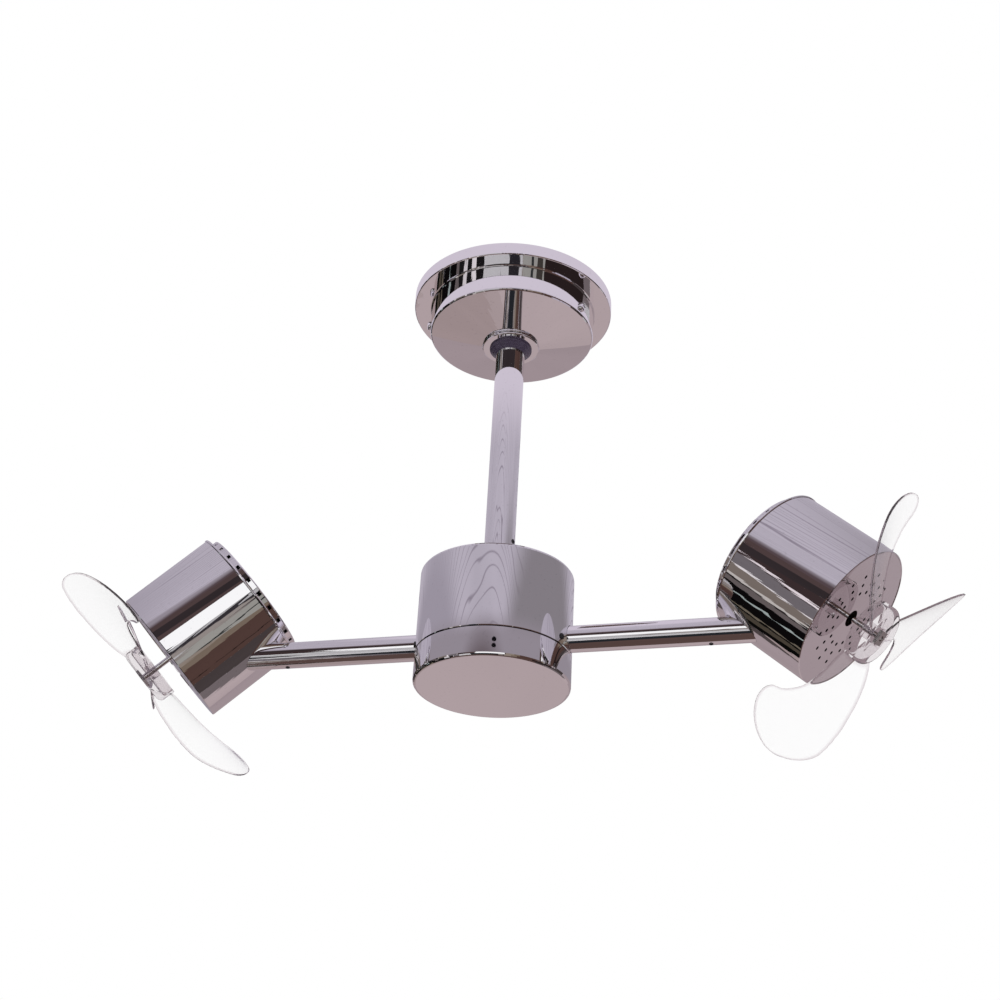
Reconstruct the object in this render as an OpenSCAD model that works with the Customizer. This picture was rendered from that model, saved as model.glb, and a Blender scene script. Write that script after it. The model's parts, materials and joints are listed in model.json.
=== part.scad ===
/* Ceiling fan with two motor heads on a pair of arms.
   Origin: centre of the ceiling plate's top face, on the ceiling.  +Z up, arms along X. */

/* [Ceiling canopy] */
// Diameter of the flange against the ceiling
canopy_flange_d = 185.4; // [178:0.2:220]
// Depth of the flange
canopy_flange_h = 12; // [8:0.2:18]
// Diameter of the drum
canopy_drum_d = 152.4; // [146:0.2:170]
// Depth of the canopy, from the ceiling to the drum's bottom
canopy_h = 39.5; // [38:0.5:60]
// How far the canopy's bottom falls from its edge to the collar
canopy_dome = 10; // [6:0.5:14]
// Sheet thickness of the canopy
canopy_wall = 1.2; // [0.8:0.1:2]
// Diameter of the collar under the drum
collar_d = 53.2; // [50:0.2:60]
// Height of the collar under the canopy's bottom
collar_h = 2.8; // [2.4:0.1:6]

/* [Ceiling plate] */
// Diameter of the plate
plate_d = 120; // [116:1:130]
// Thickness of the plate
plate_t = 3; // [2:0.5:5]
// Distance between the two slots
slot_spacing = 88.9; // [80:0.1:92]
// Width of a slot
slot_w = 5.2; // [4.5:0.1:6]
// Length of a slot from end to end
slot_l = 12; // [8:1:14]
// Diameter of the hole for the supply wires
wire_hole_d = 18; // [12:1:20]

/* [Down rod] */
// Outer diameter of the rod
rod_d = 26.7; // [25:0.1:28]
// Wall of the rod
rod_wall = 2.1; // [1.6:0.1:2.6]

/* [Hub] */
// Diameter of the hub
hub_d = 132.6; // [128:0.2:150]
// Distance from the ceiling to the hub's top
hub_drop = 292; // [260:1:600]
// Height of the hub's upper shell
hub_shell_h = 76.5; // [74:0.5:95]
// Height of the hub's lower cup
hub_cup_h = 26.7; // [25:0.5:40]
// Sheet thickness of the hub
hub_wall = 1.5; // [1:0.1:2]

/* [Arms] */
// Outer diameter of an arm
arm_d = 22.7; // [20:0.1:23.5]
// Wall of an arm
arm_wall = 1.5; // [1:0.1:2]
// Height of the arm's axis above the hub's seam
arm_rise = 13.9; // [13.8:0.1:18]
// Distance from the hub's axis to where arm and head axes cross
head_reach = 302.3; // [290:0.5:360]

/* [Motor heads] */
// Outer diameter of a head
head_d = 127; // [122:0.5:134]
// Angle between a head's axis and its arm
head_dip = 42.5; // [40:0.5:46]
// Swing of the left head about its arm, as parked
left_swing = 7; // [-20:0.5:30]
// Swing of the right head about its arm, as parked
right_swing = 6; // [-20:0.5:30]
// Distance of the front face behind the crossing point
head_setback = 6.5; // [4:0.5:9]
// Length of a head's shell
shell_l = 89.5; // [88:0.5:100]
// How far the rear cap stands behind the shell
cap_l = 6; // [4:0.5:10]
// Sheet thickness of the head's shell
head_wall = 1.2; // [0.8:0.1:1.6]

/* [Front plate] */
// Thickness of the front plate
face_t = 1.5; // [1:0.1:2]
// Number of vent rows round the shaft
vent_rows = 16; // [12:1:20]
// Number of holes in a row
vents_per_row = 3; // [2:1:3]
// Diameter of a vent hole
vent_d = 3.3; // [2:0.1:4]
// Radius of the first ring of holes
vent_first_r = 24.6; // [20:0.2:26]
// Distance between rings of holes
vent_step = 8.3; // [6:0.1:9]
// Diameter of the hole for the motor shaft
shaft_hole_d = 15; // [12:0.5:18]

/* [Motors] */
// Diameter of the stator
stator_d = 89; // [86:0.5:92]
// Length of the stator
stator_l = 22; // [18:0.5:24]
// Diameter of the rotor
rotor_d = 48; // [40:0.5:50]
// Diameter of the motor shaft
shaft_d = 5; // [4:0.1:6]

/* [Propellers] */
// Diameter over the blade tips
prop_d = 251; // [220:1:270]
// Number of blades
blade_count = 3; // [2:1:4]
// Thickness of a blade
blade_t = 2; // [1.4:0.1:3]
// Diameter of the propeller's hub
prop_hub_d = 52.6; // [46:0.2:58]
// Length of the propeller's hub
prop_hub_l = 15.5; // [14:0.5:20]
// Gap between the front face and the propeller's hub
prop_gap = 14.5; // [12:0.5:20]
// Parked angle of the left propeller
left_turn = -6; // [-60:1:60]
// Parked angle of the right propeller
right_turn = 23.7; // [-60:0.1:60]

/* [Hidden] */
$fn = 64;

left = -1;
right = 1;
eps = 0.01;

// Clearances on the radius: a turning fit, a pushed-in fit and open space
turn_fit = 0.03;
push_fit = 0.05;
swing_fit = 0.1;
open_gap = 0.3;

// Finishes
chrome = [0.78, 0.77, 0.80];
steel = [0.60, 0.61, 0.63];
dark_screw = [0.16, 0.15, 0.16];
rubber = [0.22, 0.17, 0.19];
clear_plastic = [0.86, 0.84, 0.86, 0.7];
copper = [0.72, 0.42, 0.22];
brass = [0.75, 0.62, 0.30];
nylon = [0.85, 0.84, 0.80];

// Radii
flange_r = canopy_flange_d / 2;
drum_r = canopy_drum_d / 2;
drum_in_r = drum_r - canopy_wall;
rod_r = rod_d / 2;
rod_in_r = rod_r - rod_wall;
hub_r = hub_d / 2;
hub_in_r = hub_r - hub_wall;
arm_r = arm_d / 2;
arm_in_r = arm_r - arm_wall;
head_r = head_d / 2;
head_in_r = head_r - head_wall;
shaft_r = shaft_d / 2;
prop_hub_r = prop_hub_d / 2;
tip_r = prop_d / 2;

// Angles round the axis of the screws that hold the canopy and the hub's shell
canopy_screw_angles = [-20, -164, 88];
hub_screw_angles = [-18, -162, 90];

// Canopy and ceiling plate
ear_w = 14;
ear_t = 2.4;
ear_r = drum_in_r - 0.6;
ear_in = 6;
ear_step = 0.4;
ear_screw_z = -canopy_h + 8;
ear_drop = 5;
canopy_screw_r = 2;
canopy_head_r = 4.4;
canopy_head_h = 3.2;
socket_wall = 3.6;
socket_depth = 32;
socket_roof = 2;
pin_z = -20;
pin_r = 3;
pin_head_r = 5;
pin_head_h = 3;
pin_hole_l = (rod_r + socket_wall) * 2 + 4;
wire_hole_y = plate_d / 2 - 22;
block_w = 36;
block_t = 14;
block_pitch = 12;
rim_fillet = 2.5;
dome_edge_r = drum_r - rim_fillet;
neck_wall = 2;
neck_over = 1;
collar_bore_r = collar_d / 2 - 6.9;
neck_r = collar_bore_r + neck_wall;
neck_hole_r = neck_r + push_fit;
collar_round = 1.3;
clip_t = 1.2;
clip_w = 4;
bottom_fall = canopy_dome / (dome_edge_r - neck_hole_r);
collar_top_z = bottom_z(neck_hole_r) - push_fit;
clip_z = bottom_z(neck_r + clip_w) + canopy_wall + 0.1;
neck_top_z = clip_z + clip_t + neck_over;
boot_ridges = 3;
boot_ridge_r = 1;
boot_ridge_in = 2.2;
boot_ridge_down = 1.9;
flange_fillet = 1.2;
flange_cove = 1.6;

// Hub, downward
hub_top_z = -hub_drop;
seam_z = hub_top_z - hub_shell_h;
seam_gap = 0.6;
cup_z = seam_z - hub_cup_h;
arm_z = seam_z + arm_rise;
deck_z = hub_top_z - hub_wall - 0.5;
deck_t = 3;
rod_end_z = hub_top_z - 11;
spindle_in_rod = 58;
spindle_shoulder_h = 5.5;
spindle_r = 8;
spindle_bore_r = 4.5;
bearing_r = 15;
bearing_w = 7;
upper_bearing_z = rod_end_z - spindle_shoulder_h - 0.1 - bearing_w;
floor_z = seam_z - 2.7;
floor_t = 3.8;
lower_bearing_z = floor_z + 0.2;
nut_h = 4.8;
nut_r = 12;
slip_top_z = floor_z - floor_t - 3;
slip_h = 10;
slip_r = 13;
spindle_end_z = slip_top_z - slip_h - 2;
boss_r = 21;
socket_r = arm_r + 3.65;
socket_end = hub_r - 8.3;
arm_start = boss_r + 1;
web_w = 8;
post_r = 4;
post_ring_r = hub_in_r - post_r - 0.8;
post_top_z = arm_z + 2;
shell_screw_z = seam_z + 7.5;
shell_screw_r = 1.6;
rod_screw_rise = 44;
rod_screw_z = rod_end_z + rod_screw_rise;
rod_screw_angle = -15.5;
rod_screw_r = 2.2;
hub_fillet = 2.8;
arm_door = 24;
groove_d = 1.3;
ring_w = 1.4;
ring_h = 1;
set_screw_r = 2.5;
brush_w = 16;
brush_t = 14;
brush_h = 12;
capacitor_w = 30;
capacitor_t = 16;
capacitor_h = 24;
capacitor_y = hub_in_r - capacitor_t - 8.8;

// Head, measured along its own axis from the crossing point
face_z = -head_setback;
face_recess = 0.4;
plate_back_z = face_z - face_recess - face_t;
boss_h = 3;
sleeve_l = 9;
bell_front_z = plate_back_z - boss_h - sleeve_l;
bell_h = 10;
bell_wall = 2;
stator_front_z = bell_front_z - bell_h;
stator_back_z = stator_front_z - stator_l;
bell_back_z = stator_back_z - bell_h;
shell_back_z = face_z - shell_l;
cap_back_z = shell_back_z - cap_l;
cap_skirt = 8;
cap_inset = 4.2;
cap_step = 0.6;
cap_slots = 24;
cap_slot_turn = 2.5;
cap_slot_w = 4;
cap_slot_h = 3;
bead_r = 1.2;
ledge_w = 1.8;
ledge_h = 1.3;
air_gap = 0.35;
motor_bearing_r = 8;
motor_bearing_w = 5;
motor_boss_r = 10;
bolt_ring_r = stator_d / 2 - 4.5;
bolt_r = 1.5;
bolt_head_r = 2.8;
bolt_head_h = 2.2;
sleeve_r = 3.2;
vent_turn = 13.2;
bolt_turn = vent_turn + 180 / vent_rows;
coil_h = 5;
coil_in_r = rotor_d / 2 + 3;
coil_out_r = bolt_ring_r - 2;
saddle_in_r = head_in_r - 11.3;
saddle_w = 28;
saddle_front = 16;
saddle_gap = 2.7;
head_bolt_r = 5;
head_bolt_bore_r = 3;
head_bolt_head_r = 7;
head_bolt_head_h = 5;

// Where the arm meets the head's side, along the arm from the crossing point
joint_s = head_r / sin(head_dip);
bolt_seat_s = (saddle_in_r + head_in_r) / 2 / sin(head_dip) - 2;
joint_half = arm_r / tan(head_dip);
plug_s = joint_s + joint_half + 2;
plug_l = 20;
foot_screw_s = plug_s + plug_l / 2;
foot_screw_r = 1.8;

// Propeller
prop_back_z = face_z + prop_gap;
prop_front_z = prop_back_z + prop_hub_l;
prop_wall = 3;
prop_fillet = 5;
prop_boss_r = 7;
clip_side = 12;
clip_depth = 3;
shaft_back_z = bell_back_z - 2;
shaft_front_z = prop_front_z - 0.5;
// Blade edges: share of the way from root to tip, leading angle, trailing angle
blade_root_r = prop_hub_r - prop_wall + 0.7;
blade_edges = [
    [0, 28, -36], [0.22, 24, -27], [0.44, 19, -26], [0.63, 15, -33], [0.76, 12, -41],
    [0.85, 9, -42], [0.92, 4, -38], [0.97, -2, -28], [1, -8, -16]];
blade_steps = 8;
// Height of a blade over the front face: middle, climb per radian, curl and outward rise
blade_mid = prop_gap + 8.9;
blade_climb = 31.6;
blade_climb_r = 80;
blade_curl = 28.6;
blade_curl_r = 100;
blade_curl_shift = 0.14;
blade_rise = 2.55;
blade_rise_r = 70;

// ---------------------------------------------------------------- helpers

// Height of the canopy's conical bottom at a radius
function bottom_z(r) = -canopy_h - bottom_fall * (dome_edge_r - r);

// Points of an arc about [x, y] from angle a to angle b
function arc(x, y, r, a, b, n = 4) =
    [for (i = [0:n]) [x + r * cos(a + (b - a) * i / n), y + r * sin(a + (b - a) * i / n)]];

// Ring about Z from z0 up to z1
module ring(r_out, r_in, z0, z1) {
    translate([0, 0, z0])
        difference() {
            cylinder(r = r_out, h = z1 - z0);
            translate([0, 0, -1])
                cylinder(r = r_in, h = z1 - z0 + 2);
        }
}

// Rod about Z from z0 up to z1
module rod(r, z0, z1) {
    translate([0, 0, z0])
        cylinder(r = r, h = z1 - z0);
}

// Places its child at height z, pointing outwards at angle a, with Z as the outward line
module outward(a, z) {
    translate([0, 0, z])
        rotate([0, 0, a])
            rotate([0, 90, 0])
                children();
}

// Pan-head screw along Z: shank from s0 to s1, head on top of s1
module pan_screw(r, s0, s1, head_r, head_h) {
    difference() {
        union() {
            rod(r, s0, s1);
            translate([0, 0, s1])
                rotate_extrude()
                    polygon(concat([[0, 0], [head_r, 0]],
                        arc(head_r - head_h * 0.8, head_h * 0.2, head_h * 0.8, 0, 90),
                        [[0, head_h]]));
        }
        for (turn = [0, 90])
            rotate([0, 0, turn])
                translate([-head_r * 0.55, -head_r * 0.1, s1 + head_h * 0.45])
                    cube([head_r * 1.1, head_r * 0.2, head_h]);
    }
}

// Grub screw along Z with a hexagon socket
module grub_screw(r, s0, s1) {
    difference() {
        rod(r, s0, s1);
        translate([0, 0, s1 - r * 0.8])
            cylinder(r = r * 0.55, h = r, $fn = 6);
    }
}

// Slot along X with round ends, centred on Z, from z = 0 up
module slot(w, l, h) {
    for (end = [left, right])
        translate([end * (l - w) / 2, 0, 0])
            cylinder(d = w, h = h);
    translate([-(l - w) / 2, -w / 2 + eps, 0])
        cube([l - w, w - eps * 2, h]);
}

// Frame of a head: origin where arm and head axes cross, +Z the way the air goes
module at_head(side) {
    translate([side * head_reach, 0, arm_z])
        rotate([side > 0 ? -right_swing : -left_swing, 0, 0])
            rotate([0, 0, side > 0 ? 0 : 180])
                rotate([0, 90 + head_dip, 0])
                    children();
}

// Frame of an arm: origin at the crossing point, +Z along the arm towards the hub
module at_arm(side) {
    translate([side * head_reach, 0, arm_z])
        rotate([0, -90 * side, 0])
            children();
}

// ---------------------------------------------------------------- ceiling part

module ceiling_plate() {
    color(steel)
        difference() {
            union() {
                rod(plate_d / 2, -plate_t, 0);
                rod(rod_r + socket_wall, -socket_depth, -plate_t);
                for (a = canopy_screw_angles)
                    rotate([0, 0, a]) {
                        translate([plate_d / 2 - ear_in, -ear_w / 2, -plate_t + ear_step])
                            cube([ear_r - plate_d / 2 + ear_in, ear_w, plate_t - ear_step * 2]);
                        translate([ear_r - ear_t, -ear_w / 2, ear_screw_z - ear_drop])
                            cube([ear_t, ear_w, ear_drop - ear_screw_z - ear_step]);
                    }
            }
            rod(rod_r + push_fit, -socket_depth - 1, -plate_t - socket_roof);
            translate([0, 0, pin_z])
                rotate([90, 0, 0])
                    cylinder(r = pin_r + push_fit, h = pin_hole_l, center = true);
            translate([0, wire_hole_y, -plate_t - 1])
                cylinder(d = wire_hole_d, h = plate_t + 2);
            for (side = [left, right])
                translate([side * slot_spacing / 2, 0, -plate_t - 1])
                    slot(slot_w, slot_l, plate_t + 2);
            for (a = canopy_screw_angles)
                outward(a, ear_screw_z)
                    translate([0, 0, ear_r - ear_t - 1])
                        cylinder(r = canopy_screw_r + push_fit, h = ear_t + 2);
        }
}

module canopy() {
    lip = rim_fillet;
    color(chrome)
        difference() {
            rotate_extrude()
                polygon(concat(
                    [[flange_r, 0]],
                    arc(flange_r - flange_fillet, -canopy_flange_h + flange_fillet,
                        flange_fillet, 0, -90),
                    arc(drum_r + flange_cove, -canopy_flange_h - flange_cove,
                        flange_cove, 90, 180),
                    arc(dome_edge_r, -canopy_h + lip, lip, 0, -90),
                    [[neck_hole_r, bottom_z(neck_hole_r)],
                     [neck_hole_r, bottom_z(neck_hole_r) + canopy_wall]],
                    arc(dome_edge_r, -canopy_h + lip, lip - canopy_wall, -90, 0),
                    [[drum_in_r, -canopy_flange_h + canopy_wall],
                     [flange_r - canopy_wall, -canopy_flange_h + canopy_wall],
                     [flange_r - canopy_wall, 0]]));
            for (a = canopy_screw_angles)
                outward(a, ear_screw_z)
                    translate([0, 0, drum_r - 3])
                        cylinder(r = canopy_screw_r + 0.2, h = 6);
        }
}

module canopy_screws() {
    color(chrome)
        for (a = canopy_screw_angles)
            outward(a, ear_screw_z)
                pan_screw(canopy_screw_r, ear_r - ear_t - 3, drum_r, canopy_head_r, canopy_head_h);
}

module canopy_collar() {
    r = collar_d / 2;
    low_z = collar_top_z - collar_h;
    shoulder_r = r - collar_round;
    color(chrome)
        rotate_extrude()
            polygon(concat(
                [[collar_bore_r, neck_top_z], [collar_bore_r, low_z]],
                arc(shoulder_r, low_z + collar_round, collar_round, -90, 0),
                arc(shoulder_r, bottom_z(shoulder_r) - push_fit - collar_round, collar_round, 0, 90),
                [[neck_r, collar_top_z], [neck_r, neck_top_z]]));
}

module collar_clip() {
    color(steel)
        ring(neck_r + clip_w, neck_r + push_fit, clip_z, clip_z + clip_t);
}

module canopy_grommet() {
    r_out = collar_bore_r - 0.1;
    r_in = rod_r + push_fit;
    low_z = collar_top_z - collar_h;
    tip_z = low_z - boot_ridge_r - boot_ridges * boot_ridge_down;
    color(rubber)
        rotate_extrude()
            polygon(concat(
                [[r_in, neck_top_z - 0.5], [r_in, tip_z]],
                [for (i = [boot_ridges - 1:-1:0])
                    each arc(r_out - boot_ridge_r - i * boot_ridge_in,
                             low_z - boot_ridge_r - i * boot_ridge_down,
                             boot_ridge_r, -90, 0)],
                [[r_out, neck_top_z - 0.5]]));
}

module terminal_block() {
    color(nylon)
        difference() {
            translate([-block_w / 2, -wire_hole_y - block_t / 2, -plate_t - block_t])
                cube([block_w, block_t, block_t]);
            for (i = [-1:1])
                translate([i * block_pitch, -wire_hole_y, -plate_t - block_t - 1])
                    cylinder(r = 2, h = block_t - 4);
        }
}

// The pin runs along Y, its head on the -Y side
module cross_pin() {
    seat = rod_r + socket_wall + open_gap;
    color(steel)
        translate([0, 0, pin_z])
            rotate([90, 0, 0]) {
                rod(pin_r, -seat - 6, seat);
                rod(pin_head_r, seat, seat + pin_head_h);
            }
}

module cross_pin_nut() {
    seat = rod_r + socket_wall + open_gap;
    color(steel)
        translate([0, 0, pin_z])
            rotate([90, 0, 0])
                translate([0, 0, -seat - 4.5])
                    difference() {
                        cylinder(r = pin_head_r + 0.6, h = 4.5, $fn = 6);
                        translate([0, 0, -1])
                            cylinder(r = pin_r + push_fit, h = 7);
                    }
}

module downrod() {
    color(chrome)
        difference() {
            ring(rod_r, rod_in_r, rod_end_z, -plate_t - socket_roof);
            translate([0, 0, pin_z])
                rotate([90, 0, 0])
                    cylinder(r = pin_r + push_fit, h = pin_hole_l, center = true);
            outward(rod_screw_angle, rod_screw_z)
                translate([0, 0, rod_in_r - 1])
                    cylinder(r = rod_screw_r + push_fit, h = rod_wall + 2);
        }
}

module rod_screw() {
    color(dark_screw)
        outward(rod_screw_angle, rod_screw_z)
            grub_screw(rod_screw_r, rod_in_r - 0.9, rod_r + 0.3);
}

module hub_spindle() {
    shank_r = rod_in_r - 0.1;
    color(steel)
        difference() {
            union() {
                rod(shank_r, rod_end_z, rod_end_z + spindle_in_rod);
                rod(rod_r - push_fit, rod_end_z - spindle_shoulder_h, rod_end_z);
                rod(spindle_r, spindle_end_z, rod_end_z - spindle_shoulder_h);
            }
            rod(spindle_bore_r, spindle_end_z - 1, rod_end_z + spindle_in_rod + 1);
            outward(rod_screw_angle, rod_screw_z)
                translate([0, 0, rod_in_r - 1])
                    cylinder(r = rod_screw_r + push_fit, h = 3);
        }
}

module spindle_nut() {
    color(brass)
        translate([0, 0, floor_z - nut_h])
            difference() {
                cylinder(r = nut_r, h = nut_h, $fn = 6);
                translate([0, 0, -1])
                    cylinder(r = spindle_r + push_fit, h = nut_h + 2);
            }
}

module slip_ring() {
    groove = 0.8;
    color(copper)
        difference() {
            ring(slip_r, spindle_r + push_fit, slip_top_z - slip_h, slip_top_z);
            for (i = [1:3])
                ring(slip_r + 1, slip_r - groove,
                     slip_top_z - i * slip_h / 4 - 0.4, slip_top_z - i * slip_h / 4 + 0.4);
        }
}

// ---------------------------------------------------------------- turning hub

module hub_carrier() {
    color(steel)
        difference() {
            union() {
                rod(boss_r, floor_z, deck_z);
                rod(hub_in_r - 2.8, deck_z - deck_t, deck_z);
                rod(hub_in_r - open_gap, floor_z - floor_t, floor_z);
                for (side = [left, right]) {
                    translate([0, 0, arm_z])
                        rotate([0, 90 * side, 0])
                            cylinder(r = socket_r, h = socket_end);
                    translate([side > 0 ? boss_r - 2 : -socket_end + 2, -web_w / 2, floor_z - 1])
                        cube([socket_end - boss_r, web_w, arm_z - floor_z - arm_r]);
                }
                for (a = hub_screw_angles)
                    rotate([0, 0, a])
                        translate([post_ring_r, 0, 0])
                            rod(post_r, floor_z - 1, post_top_z);
            }
            rod(bearing_r + 0.02, upper_bearing_z, deck_z + 1);
            rod(spindle_r + 1, lower_bearing_z, upper_bearing_z + 1);
            rod(bearing_r + 0.02, floor_z - floor_t - 1, lower_bearing_z + bearing_w);
            ring(hub_in_r + 1, hub_in_r - open_gap - groove_d,
                 floor_z - floor_t / 2 - ring_h / 2 - 0.1, floor_z - floor_t / 2 + ring_h / 2 + 0.1);
            for (side = [left, right]) {
                translate([side * (boss_r + 0.5), 0, arm_z])
                    rotate([0, 90 * side, 0])
                        cylinder(r = arm_r + swing_fit, h = hub_r);
                translate([side * (socket_end - 8), 0, arm_z])
                    cylinder(r = set_screw_r + push_fit, h = socket_r + 1);
            }
            for (a = hub_screw_angles)
                outward(a, shell_screw_z)
                    translate([0, 0, post_ring_r - 2.5])
                        cylinder(r = shell_screw_r + push_fit, h = post_r + 6);
        }
}

module hub_bearings() {
    color(steel)
        for (z = [upper_bearing_z, lower_bearing_z])
            ring(bearing_r, spindle_r + turn_fit, z, z + bearing_w);
}

module hub_shell() {
    z0 = seam_z + seam_gap / 2;
    mouth_r = rod_r + 1.65;
    color(chrome)
        difference() {
            rotate_extrude()
                polygon(concat(
                    [[hub_in_r, z0], [hub_r - 0.5, z0], [hub_r, z0 + 0.5]],
                    arc(hub_r - hub_fillet, hub_top_z - hub_fillet, hub_fillet, 0, 90),
                    [[mouth_r, hub_top_z], [mouth_r, hub_top_z - hub_wall]],
                    arc(hub_r - hub_fillet, hub_top_z - hub_fillet, hub_fillet - hub_wall, 90, 0)));
            for (side = [left, right])
                translate([side * (hub_r - arm_door / 2), 0, arm_z])
                    rotate([0, 90 * side, 0])
                        cylinder(r = arm_r + 0.4, h = arm_door);
            for (a = hub_screw_angles)
                outward(a, shell_screw_z)
                    translate([0, 0, hub_r - 4])
                        cylinder(r = shell_screw_r + 0.2, h = 6);
        }
}

module hub_shell_screws() {
    color(dark_screw)
        for (a = hub_screw_angles)
            outward(a, shell_screw_z)
                pan_screw(shell_screw_r, post_ring_r - 2, hub_r, 2.8, 1.3);
}

module hub_cup() {
    z1 = seam_z - seam_gap / 2;
    color(chrome)
        rotate_extrude()
            polygon(concat(
                [[0, cup_z]],
                arc(hub_r - hub_fillet, cup_z + hub_fillet, hub_fillet, -90, 0),
                [[hub_r, z1 - 0.5], [hub_r - 0.5, z1], [hub_in_r, z1]],
                arc(hub_r - hub_fillet, cup_z + hub_fillet, hub_fillet - hub_wall, 0, -90),
                [[0, cup_z + hub_wall]]));
}

// Split ring in the floor's groove; the cup snaps over it
module cup_spring_ring() {
    r_out = hub_in_r - 0.1;
    z = floor_z - floor_t / 2;
    color(steel)
        difference() {
            ring(r_out, r_out - ring_w, z - ring_h / 2, z + ring_h / 2);
            translate([0, r_out - 4, z - 2])
                cube([6, 8, 4]);
        }
}

module brush_block() {
    x0 = slip_r + 2.3;
    color(nylon)
        translate([x0, -brush_w / 2, floor_z - floor_t - brush_h])
            cube([brush_t, brush_w, brush_h]);
    color(copper)
        for (i = [-1, 1])
            translate([x0 - 2, -1.5, slip_top_z - slip_h / 2 + i * slip_h * 0.375 - 0.7])
                cube([2, 3, 1.4]);
}

module capacitors() {
    color(dark_screw)
        for (side = [left, right])
            translate([-capacitor_w / 2, side * capacitor_y - capacitor_t / 2,
                       deck_z - deck_t - capacitor_h])
                cube([capacitor_w, capacitor_t, capacitor_h]);
}

module arm_set_screws() {
    color(dark_screw)
        for (side = [left, right])
            translate([side * (socket_end - 8), 0, arm_z])
                grub_screw(set_screw_r, arm_r + open_gap, socket_r + 1.5);
}

// ---------------------------------------------------------------- motor heads

module arm(side) {
    color(chrome)
        difference() {
            at_arm(side)
                ring(arm_r, arm_in_r, 0, head_reach - arm_start);
            at_head(side)
                rod(head_r + 0.1, cap_back_z - arm_d * 2, arm_d * 3);
            at_arm(side)
                rotate([0, 0, side > 0 ? 180 : 0])
                    outward(0, foot_screw_s)
                        cylinder(r = foot_screw_r + push_fit, h = arm_r + 2);
        }
}

module arm_plug(side) {
    color(steel)
        difference() {
            at_arm(side)
                ring(arm_in_r - push_fit, head_bolt_r + push_fit, plug_s, plug_s + plug_l);
            at_arm(side)
                rotate([0, 0, side > 0 ? 180 : 0])
                    outward(0, foot_screw_s)
                        cylinder(r = foot_screw_r + push_fit, h = arm_r + 2);
        }
}

// Hollow bolt along the arm's axis, from the saddle into the plug
module head_bolt(side) {
    color(steel)
        at_arm(side)
            difference() {
                union() {
                    rod(head_bolt_r, bolt_seat_s, plug_s + plug_l - 4);
                    translate([0, 0, bolt_seat_s - head_bolt_head_h])
                        cylinder(r = head_bolt_head_r, h = head_bolt_head_h, $fn = 6);
                }
                rod(head_bolt_bore_r, bolt_seat_s - head_bolt_head_h - 1, plug_s + plug_l);
            }
}

// Block inside the shell's wall that the bolt's head pulls against
module head_saddle(side) {
    z0 = shell_back_z + cap_skirt + saddle_gap;
    z1 = -joint_s * cos(head_dip) + saddle_front;
    color(steel)
        difference() {
            at_head(side)
                intersection() {
                    ring(head_in_r - 0.1, saddle_in_r, z0, z1);
                    translate([0, -saddle_w / 2, z0 - 1])
                        cube([head_r, saddle_w, z1 - z0 + 2]);
                }
            at_arm(side) {
                rod(head_bolt_r + push_fit, 0, joint_s * 2);
                rod(head_bolt_head_r + open_gap, 0, bolt_seat_s);
            }
        }
}

module head_shell(side) {
    ledge_z = plate_back_z - 0.1;
    color(chrome)
        difference() {
            at_head(side)
                rotate_extrude()
                    polygon(concat(
                        [[head_in_r, shell_back_z]],
                        arc(head_r - 0.3, shell_back_z + bead_r, bead_r, -90, 90, 6),
                        [[head_r, shell_back_z + bead_r * 2]],
                        [[head_r, face_z - 0.5], [head_r - 0.5, face_z], [head_in_r, face_z],
                         [head_in_r, ledge_z],
                         [head_in_r - ledge_w, ledge_z],
                         [head_in_r - ledge_w, ledge_z - ledge_h],
                         [head_in_r, ledge_z - ledge_h - ledge_w]]));
            at_arm(side)
                rod(head_bolt_r + push_fit, 0, joint_s * 2);
        }
}

module front_plate(side) {
    color(chrome)
        at_head(side)
            difference() {
                union() {
                    rod(head_in_r - 0.1, plate_back_z, face_z - face_recess);
                    for (i = [0:3])
                        rotate([0, 0, bolt_turn + 90 * i])
                            translate([bolt_ring_r, 0, 0])
                                rod(sleeve_r, plate_back_z - boss_h, plate_back_z + eps);
                }
                rod(shaft_hole_d / 2, plate_back_z - 1, face_z + 1);
                for (row = [0:vent_rows - 1])
                    for (i = [0:vents_per_row - 1])
                        rotate([0, 0, vent_turn + row * 360 / vent_rows])
                            translate([vent_first_r + i * vent_step, 0, 0])
                                rod(vent_d / 2, plate_back_z - 1, face_z + 1);
                for (i = [0:3])
                    rotate([0, 0, bolt_turn + 90 * i])
                        translate([bolt_ring_r, 0, 0])
                            rod(bolt_r + push_fit, plate_back_z - boss_h - 1, plate_back_z);
            }
}

module rear_cap(side) {
    r = head_in_r - 0.1;
    cap_r = r - cap_inset;
    step_z = shell_back_z + cap_step;
    slot_z = (cap_back_z + step_z) / 2;
    color(chrome)
        at_head(side)
            difference() {
                rotate_extrude()
                    polygon(concat(
                        [[0, cap_back_z]],
                        arc(cap_r - 1.2, cap_back_z + 1.2, 1.2, -90, 0),
                        [[cap_r, step_z], [r, step_z],
                         [r, shell_back_z + cap_skirt],
                         [r - head_wall, shell_back_z + cap_skirt],
                         [r - head_wall, step_z + head_wall],
                         [cap_r - head_wall, step_z + head_wall],
                         [cap_r - head_wall, cap_back_z + head_wall],
                         [0, cap_back_z + head_wall]]));
                for (i = [0:cap_slots - 1])
                    rotate([0, 0, cap_slot_turn + i * 360 / cap_slots])
                        translate([cap_r - 3, -cap_slot_w / 2, slot_z - cap_slot_h / 2])
                            cube([6, cap_slot_w, cap_slot_h]);
            }
}

module stator(side) {
    color(steel)
        at_head(side)
            difference() {
                ring(stator_d / 2, rotor_d / 2 + air_gap, stator_back_z, stator_front_z);
                for (i = [0:3])
                    rotate([0, 0, bolt_turn + 90 * i])
                        translate([bolt_ring_r, 0, 0])
                            rod(bolt_r + push_fit, stator_back_z - 1, stator_front_z + 1);
            }
}

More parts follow.
